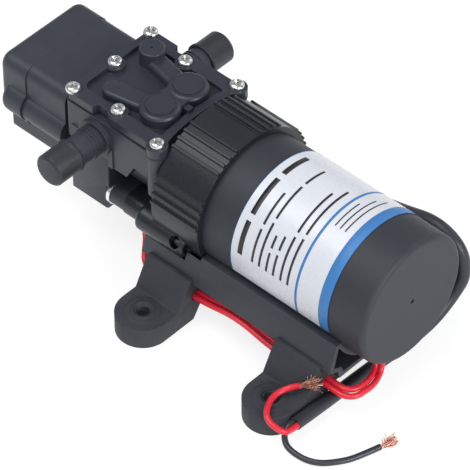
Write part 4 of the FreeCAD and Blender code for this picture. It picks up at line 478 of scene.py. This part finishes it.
def studio_world():
    """Soft surroundings that the camera sees as white."""
    world = bpy.data.worlds.new("studio")
    world.use_nodes = True
    tree = world.node_tree
    around = tree.nodes["Background"]
    around.inputs["Color"].default_value = SURROUNDINGS_COLOUR
    around.inputs["Strength"].default_value = SURROUNDINGS_STRENGTH
    white = add_node(tree, "ShaderNodeBackground", {"Color": WHITE, "Strength": 1.0})
    path = add_node(tree, "ShaderNodeLightPath")
    inputs = {0: path.outputs["Is Camera Ray"], 1: around.outputs[0], 2: white.outputs[0]}
    both = add_node(tree, "ShaderNodeMixShader", inputs)
    tree.links.new(both.outputs[0], tree.nodes["World Output"].inputs["Surface"])
    return world


class PUMP_OT_stage(bpy.types.Operator):
    """Add the pale floor, the soft lights and the white surroundings"""
    bl_idname = "pump.stage"
    bl_label = "Floor and lights"

    def execute(self, context):
        mesh = bpy.data.meshes.new("floor")
        build = bmesh.new()
        bmesh.ops.create_grid(build, x_segments=FLOOR_SQUARES, y_segments=FLOOR_SQUARES,
                              size=FLOOR_HALF_SIDE)
        build.to_mesh(mesh)
        build.free()
        floor = link("floor", mesh)
        floor.location = (0.0, 0.0, -FLOOR_DROP)
        mesh.materials.append(pale_floor())
        context.scene.world = studio_world()
        for name, place, aim, size, share in LIGHTS:
            area_light(name, place, aim, size, context.scene.pump_looks.key_power * share)
        context.scene.view_settings.view_transform = "Standard"
        return {"FINISHED"}


# Cable and wires

# How finely a cord and a strand are drawn, round the section and between two points of the line.
CORD_SECTION = 8
CORD_STEPS = 16
STRAND_SECTION = 2
STRAND_STEPS = 3
STRAND_POINTS = 14
# Angle in radians that spreads the strands evenly over the core's section, the bundle's radius and
# the length that each strand keeps inside the core, in millimetres.
GOLDEN_ANGLE = 2.399963
BUNDLE_RADIUS = 0.66
HELD_LENGTH = 0.8
# Ranges of a strand's length and of its outward lean as shares, of its waves in radians, and of
# their size in millimetres.
STRAND_REACH = (0.68, 1.05)
STRAND_LEAN = (0.05, 0.40)
STRAND_WAVES = (5.0, 12.0)
STRAND_SWING = (0.15, 0.55)
# Pace of the upward wave as a share of the sideways one's.
SLOW_WAVE = 0.8
# One strand in seven hooks back, from the fifth on, and by how much of its length.
HOOK_EVERY = 7
HOOK_FIRST = 4
HOOK_SHARE = 0.40


def round_curve(name, fineness):
    """Empty curve of round section, on which each point's radius is the cord's own, in metres."""
    curve = bpy.data.curves.new(name, "CURVE")
    curve.dimensions = "3D"
    curve.bevel_depth = 1.0
    curve.bevel_resolution = fineness
    curve.use_fill_caps = True
    return curve


def smooth_line(curve, places, radius, steps):
    """Smooth open line on the curve, which the places steer, of one radius."""
    spline = curve.splines.new("NURBS")
    spline.points.add(len(places) - 1)
    for point, place in zip(spline.points, places):
        point.co = (*place, 1.0)
        point.radius = radius
    spline.order_u = 3
    spline.use_endpoint_u = True
    spline.resolution_u = steps


def smooth_cord(name, route, diameter, finish):
    """Round cord on one smooth line that the route's points steer."""
    curve = round_curve(name, CORD_SECTION)
    smooth_line(curve, [Vector(place) * MM for place in route], diameter / 2, CORD_STEPS)
    cord = link(name, curve)
    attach(cord, "pump_body")
    return give(cord, finish)


def kept_in_box(place, margin):
    """Place moved, where it must be, to lie inside the box of the solids by the margin."""
    return [min(max(value, low + margin), high - margin) for value, low, high in zip(place, *CAD_BOX)]


def frayed_end(name, route, length, seed, curl):
    """Bunch of fine copper strands that leave a core's stripped end, wave, and part from each other."""
    looks = bpy.context.scene.pump_looks
    rng = random.Random(seed)
    end, before = Vector(route[-1]) * MM, Vector(route[-2]) * MM
    heading = (end - before).normalized()
    side = heading.cross(Vector((0.0, 0.0, 1.0))).normalized()
    upward = side.cross(heading).normalized()
    radius = looks.strand_diameter / 2
    curve = round_curve(name, STRAND_SECTION)
    for index in range(looks.strand_count):
        ring = math.sqrt((index + 0.5) / looks.strand_count)
        angle = index * GOLDEN_ANGLE
        out = side * math.cos(angle) + upward * math.sin(angle)
        start = end + out * ring * BUNDLE_RADIUS * MM - heading * HELD_LENGTH * MM
        reach = length * rng.uniform(*STRAND_REACH)
        lean = rng.uniform(*STRAND_LEAN) * ring
        twist = rng.uniform(0.0, 2 * math.pi)
        waves = rng.uniform(*STRAND_WAVES)
        swing = rng.uniform(*STRAND_SWING) * MM
        places = []
        for step in range(STRAND_POINTS):
            t = step / (STRAND_POINTS - 1)
            wave = side * math.sin(t * waves + twist) + upward * math.cos(t * waves * SLOW_WAVE + twist)
            sweep = out * (lean * reach * t * t) + wave * (swing * t)
            if index % HOOK_EVERY == HOOK_FIRST:
                sweep += side * curl * HOOK_SHARE * reach * t * t - heading * HOOK_SHARE * reach * t ** 3
            places.append(kept_in_box(start + heading * reach * t + sweep, 2 * radius))
        smooth_line(curve, places, radius, STRAND_STEPS)
    strands = link(name, curve)
    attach(strands, "pump_body")
    return give(strands, "strand_copper")


class PUMP_OT_supply_cable(bpy.types.Operator):
    """Lay the sleeved supply cable and its two stripped cores"""
    bl_idname = "pump.supply_cable"
    bl_label = "Supply cable"

    def execute(self, context):
        looks = context.scene.pump_looks
        sleeve = smooth_cord("cable_sleeve", SLEEVE_ROUTE, looks.sleeve_diameter, "sleeve_pvc")
        red = smooth_cord("red_core", RED_ROUTE, looks.core_diameter, "red_pvc")
        black = smooth_cord("black_core", BLACK_ROUTE, looks.core_diameter, "black_pvc")
        red_ends = frayed_end("red_core_strands", RED_ROUTE, length=7.8 * MM, seed=3, curl=-1.0)
        black_ends = frayed_end("black_core_strands", BLACK_ROUTE, length=6.8 * MM, seed=8, curl=-0.8)
        for piece, node in ((sleeve, "supply_cable"), (red, "red_lead"), (black, "black_lead"),
                            (red_ends, "red_strands"), (black_ends, "black_strands")):
            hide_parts(node)
        return {"FINISHED"}


# Finishes and rounded mouldings

# Pieces whose edges are rounded, the rounding in millimetres, and their finish.
MOULDINGS = (
    ("foot_front", 0.8, "rubber"),
    ("foot_rear", 0.8, "rubber"),
    ("crank_block", 0.8, "plastic"),
    ("base_rail", 0.3, "rail"),
    ("port_cap_front", 0.4, "cap_rubber"),
    ("port_cap_back", 0.4, "cap_rubber"),
)
ROUNDING_SEGMENTS = 2
# Angle from which an edge is rounded.
HARD_EDGE = math.radians(34.0)
# Cleaned away first: edges flatter than the angle, points closer than the gap and shorter edges.
FLAT_ANGLE = math.radians(0.6)
MERGE_GAP = 0.003 * MM
SLIVER_LENGTH = 0.004 * MM


class PUMP_OT_finishes(bpy.types.Operator):
    """Give the part's own pieces their finishes"""
    bl_idname = "pump.finishes"
    bl_label = "Finishes"

    def execute(self, context):
        for finish, nodes in NODE_FINISH.items():
            for node in nodes:
                give(frame["nodes"][node], finish)
        return {"FINISHED"}


def rounded_copy(name, node, width, finish):
    """Copy of a rigid piece with its hard edges rounded by the given width, shown in its place."""
    mesh = frame["nodes"][node].data.copy()
    mesh.name = name
    build = bmesh.new()
    build.from_mesh(mesh)
    bmesh.ops.remove_doubles(build, verts=build.verts, dist=MERGE_GAP)
    bmesh.ops.dissolve_degenerate(build, edges=build.edges, dist=SLIVER_LENGTH)
    bmesh.ops.dissolve_limit(build, angle_limit=FLAT_ANGLE, verts=build.verts, edges=build.edges)
    build.to_mesh(mesh)
    build.free()
    mesh.shade_smooth()
    piece = link(name, mesh)
    bevel = piece.modifiers.new("Rounded edges", "BEVEL")
    bevel.width = width * MM
    bevel.segments = ROUNDING_SEGMENTS
    bevel.limit_method = "ANGLE"
    bevel.angle_limit = HARD_EDGE
    bevel.use_clamp_overlap = True
    bevel.miter_outer = "MITER_ARC"
    bevel.harden_normals = True
    body = frame["nodes"][node]["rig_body"]
    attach(piece, body)
    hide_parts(node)
    return give(piece, finish)


class PUMP_OT_mouldings(bpy.types.Operator):
    """Round the edges of the moulded and rubber pieces"""
    bl_idname = "pump.mouldings"
    bl_label = "Mouldings"

    def execute(self, context):
        for node, width, finish in MOULDINGS:
            rounded_copy(node + "_moulding", node, width, finish)
        return {"FINISHED"}


# Screws

# Places of the cover's screws and the height of the seats under their heads, in millimetres.
COVER_SCREWS = (
    (-80.5, -18.4), (-79.1, 0.0), (-80.5, 18.4), (-62.4, -15.8), (-62.4, 15.8),
    (-41.9, -18.9), (-41.9, 18.9),
)
COVER_SEAT_HEIGHT = 58.7
# Radius and height of the head, radius and length of the shank, in millimetres.
COVER_SCREW_SIZES = (2.6, 1.9, 1.4, 13.5)
# Turn of the first screw's recess, and how much more each next one is turned, in radians.
FIRST_SPIN = 0.35
SPIN_STEP = 0.9

# Outline of the head from its rim to its crown, as shares of its radius and height.
HEAD_OUTLINE = ((1.0, 0.12), (1.0, 0.42), (0.95, 0.66), (0.82, 0.86), (0.6, 1.0))
# Radius under the head as a share of the head's, the point's as a share of the shank's, and the
# length of the point.
UNDERSIDE_SHARE = 0.96
POINT_SHARE = 0.5
POINT_LENGTH = 0.5 * MM
SCREW_FACETS = 40
# Length and width of the recess's two blades at its floor and at its mouth, as shares of the head's
# radius, and the height of each as a share of the head's height.
RECESS_FLOOR = (0.40, 0.16, 0.25)
RECESS_MOUTH = (1.22, 0.30, 1.1)
# Depth under the dome from which a face counts as the recess's own and takes the painted shade.
RECESS_MARGIN = 0.05 * MM
SHARP_ANGLE = math.radians(35)


def lathe(build, profile):
    """Turned shape, added to the mesh, from (radius, height) points along its own axis."""
    rings = []
    for radius, height in profile:
        ring = []
        for step in range(SCREW_FACETS):
            angle = 2 * math.pi * step / SCREW_FACETS
            ring.append(build.verts.new((radius * math.cos(angle), radius * math.sin(angle), height)))
        rings.append(ring)
    for lower, upper in zip(rings, rings[1:]):
        for step in range(SCREW_FACETS):
            beside = (step + 1) % SCREW_FACETS
            build.faces.new((lower[step], lower[beside], upper[beside], upper[step]))
    build.faces.new(rings[0][::-1])
    build.faces.new(rings[-1])


def dome_height(dome, reach):
    """Height of a head's outer face at a distance from its axis, or nought beyond its flank."""
    if reach <= dome[-1][0]:
        return dome[-1][1]
    for (outer, low), (inner, high) in zip(dome[1:], dome[2:]):
        if inner < reach <= outer:
            return low + (high - low) * (outer - reach) / (outer - inner)
    return 0.0


def mesh_from(name, build):
    """Mesh of the built shape, which is then let go."""
    mesh = bpy.data.meshes.new(name)
    build.to_mesh(mesh)
    build.free()
    return mesh


def recess_blades(head, height, spin):
    """Two crossed wedges that cut the recess, wider at the mouth than at the floor."""
    cutter = bmesh.new()
    for angle in (spin, spin + math.pi / 2):
        cosine, sine = math.cos(angle), math.sin(angle)
        blade = bmesh.ops.create_cube(cutter, size=1.0)
        for vert in blade["verts"]:
            arm, width, level = RECESS_FLOOR if vert.co.z < 0 else RECESS_MOUTH
            x, y = vert.co.x * (head * arm), vert.co.y * (head * width)
            vert.co = Vector((x * cosine - y * sine, x * sine + y * cosine, height * level))
    return mesh_from("screw_recess", cutter)


def cross_recess_screw(build, centre, head, height, shank, length, spin):
    """Upright domed screw with a cross recess, with the head's underside at the centre."""
    shaft = [(shank * POINT_SHARE, -length), (shank, -length + POINT_LENGTH), (shank, 0.0),
             (head * UNDERSIDE_SHARE, 0.0)]
    dome = [(head * across, height * up) for across, up in HEAD_OUTLINE]
    body = bmesh.new()
    lathe(body, shaft + dome)
    solid = mesh_from("screw_body", body)
    tool = recess_blades(head, height, spin)
    body_object, tool_object = link("screw_body", solid), link("screw_recess", tool)
    cut = body_object.modifiers.new("Recess", "BOOLEAN")
    cut.object = tool_object
    cut.solver = "EXACT"
    cut.use_self = True
    done = body_object.evaluated_get(bpy.context.evaluated_depsgraph_get()).to_mesh()
    # Faces down in the recess take the second slot, whose dark colour is painted shade for the recess.
    for face in done.polygons:
        reach = math.hypot(face.center.x, face.center.y)
        if 0.0 < face.center.z < dome_height(dome, reach) - RECESS_MARGIN:
            face.material_index = 1
    done.transform(Matrix.Translation(centre))
    build.from_mesh(done)
    body_object.to_mesh_clear()
    bpy.data.objects.remove(body_object)
    bpy.data.objects.remove(tool_object)
    bpy.data.meshes.remove(solid)
    bpy.data.meshes.remove(tool)


def screw_set(name, node, places, sizes):
    """One piece for a group of like screws, each given by its head's place and the turn of its recess."""
    build = bmesh.new()
    for place, spin in places:
        cross_recess_screw(build, Vector(place) * MM, *(s * MM for s in sizes), spin=spin)
    mesh = mesh_from(name, build)
    mesh.shade_smooth()
    mesh.set_sharp_from_angle(angle=SHARP_ANGLE)
    piece = link(name, mesh)
    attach(piece, "pump_body")
    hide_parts(node)
    give(piece, "zinc")
    # Second slot: the dark painted shade of the recesses.
    piece.data.materials.append(FINISHES["recess"])


class PUMP_OT_screws(bpy.types.Operator):
    """Add the plated screws with their cross recesses"""
    bl_idname = "pump.screws"
    bl_label = "Screws"

    def execute(self, context):
        places = [((x, y, COVER_SEAT_HEIGHT), FIRST_SPIN + SPIN_STEP * index)
                  for index, (x, y) in enumerate(COVER_SCREWS)]
        screw_set("cover_screw_set", "cover_screws", places, COVER_SCREW_SIZES)
        return {"FINISHED"}


# Label

# Where the print starts and ends round the can, in degrees.
LABEL_REACH = (-17.5, 197.5)
# Widths of the line on the label's edge and of the band, the band's overhang, and the thin line's
# two sides along the can, in millimetres.
EDGE_LINE_WIDTH = 0.3
BAND_WIDTH = 4.0
BAND_OVERHANG = 0.03
THIN_LINE = (23.0, 23.95)
# Height of the ink over what it lies on, and its thickness.
INK_LIFT = 0.02 * MM
INK_THICKNESS = 0.015 * MM
STRIP_STEPS = 64

# Grey lines of the label: place along the can, width, and where each stretch starts and ends in degrees.
LABEL_LINES = (
    (-1.0, 2.0, (173.0, 143.0, 137.0, 103.0, 97.0, 69.0)),
    (4.4, 0.9, (173.0, 143.0, 139.0, 110.0)),
    (7.4, 0.9, (173.0, 134.0, 130.0, 98.0, 94.0, 72.0)),
    (10.5, 0.9, (173.0, 156.0, 152.0, 141.0)),
    (13.5, 0.9, (173.0, 154.0, 150.0, 138.0)),
    (16.7, 0.9, (173.0, 134.0, 130.0, 88.0)),
    (19.7, 0.9, (173.0, 132.0, 128.0, 78.0)),
    (26.0, 0.5, (110.0, 82.0)),
    (28.1, 0.5, (110.0, 68.0)),
    (30.2, 0.5, (110.0, 60.0)),
)


def curved_strip(build, x0, x1, angle0, angle1, radius, end_radius):
    """Strip round the can between two places along it, each with its radius, and two angles in degrees."""
    rows = []
    for x, reach in ((x0, radius), (x1, end_radius)):
        row = []
        for step in range(STRIP_STEPS + 1):
            angle = math.radians(angle0 + (angle1 - angle0) * step / STRIP_STEPS)
            across, up = reach * math.cos(angle), reach * math.sin(angle)
            row.append(build.verts.new((x * MM, across, AXIS_HEIGHT + up)))
        rows.append(row)
    for step in range(STRIP_STEPS):
        build.faces.new((rows[0][step], rows[1][step], rows[1][step + 1], rows[0][step + 1]))


def label_print(name, strips, finish, rims=()):
    """Printed strips on the label, and rims that run down from it to the can, as one thin piece."""
    build = bmesh.new()
    for strip in strips:
        curved_strip(build, *strip, LABEL_RADIUS + INK_LIFT, LABEL_RADIUS + INK_LIFT)
    for x in rims:
        curved_strip(build, x, x, *LABEL_REACH, LABEL_RADIUS + INK_LIFT, CAN_RADIUS + INK_LIFT)
    bmesh.ops.recalc_face_normals(build, faces=build.faces)
    mesh = mesh_from(name, build)
    mesh.shade_smooth()
    piece = link(name, mesh)
    thick = piece.modifiers.new("Ink", "SOLIDIFY")
    thick.thickness = INK_THICKNESS
    piece.modifiers.new("Even shading", "WEIGHTED_NORMAL")
    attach(piece, "pump_body")
    return give(piece, finish)


class PUMP_OT_label(bpy.types.Operator):
    """Add the plain striped print to the motor's label"""
    bl_idname = "pump.label"
    bl_label = "Label"

    def execute(self, context):
        left, right = (corner[0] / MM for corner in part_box("motor_label"))
        rim = right + BAND_OVERHANG
        bands = ((left, left + EDGE_LINE_WIDTH), (right - BAND_WIDTH, rim), THIN_LINE)
        label_print("label_blue_band", [(*band, *LABEL_REACH) for band in bands], "label_blue", rims=[rim])
        strips = []
        for x, wide, ends in LABEL_LINES:
            for start, stop in zip(ends[::2], ends[1::2]):
                strips.append((x - wide / 2, x + wide / 2, start, stop))
        label_print("label_grey_lines", strips, "label_grey")
        return {"FINISHED"}


STEPS = (PUMP_OT_camera, PUMP_OT_supply_cable, PUMP_OT_finishes, PUMP_OT_mouldings, PUMP_OT_screws,
         PUMP_OT_label, PUMP_OT_stage)


class PUMP_PT_panel(bpy.types.Panel):
    """Steps that dress the pump"""
    bl_idname = "PUMP_PT_panel"
    bl_label = "Pump"
    bl_space_type = "VIEW_3D"
    bl_region_type = "UI"
    bl_category = "Pump"

    def draw(self, context):
        column = self.layout.column()
        for step in STEPS:
            column.operator(step.bl_idname)
        for name in PumpLooks.__annotations__:
            column.prop(context.scene.pump_looks, name)


CLASSES = (PumpLooks, *STEPS, PUMP_PT_panel)


def register():
    for item in CLASSES:
        bpy.utils.register_class(item)
    bpy.types.Scene.pump_looks = PointerProperty(type=PumpLooks)


def unregister():
    del bpy.types.Scene.pump_looks
    for item in reversed(CLASSES):
        bpy.utils.unregister_class(item)


def main():
    """Register the steps, make the finishes and run each step to dress the pump."""
    register()
    looks = bpy.context.scene.pump_looks
    FINISHES.update(plastic_finishes(looks))
    FINISHES.update(rubber_finishes(looks))
    FINISHES.update(metal_finishes())
    FINISHES.update(label_finishes(looks))
    for step in STEPS:
        group, name = step.bl_idname.split(".")
        getattr(getattr(bpy.ops, group), name)()
    bpy.context.view_layer.update()


if __name__ == "__main__":
    main()
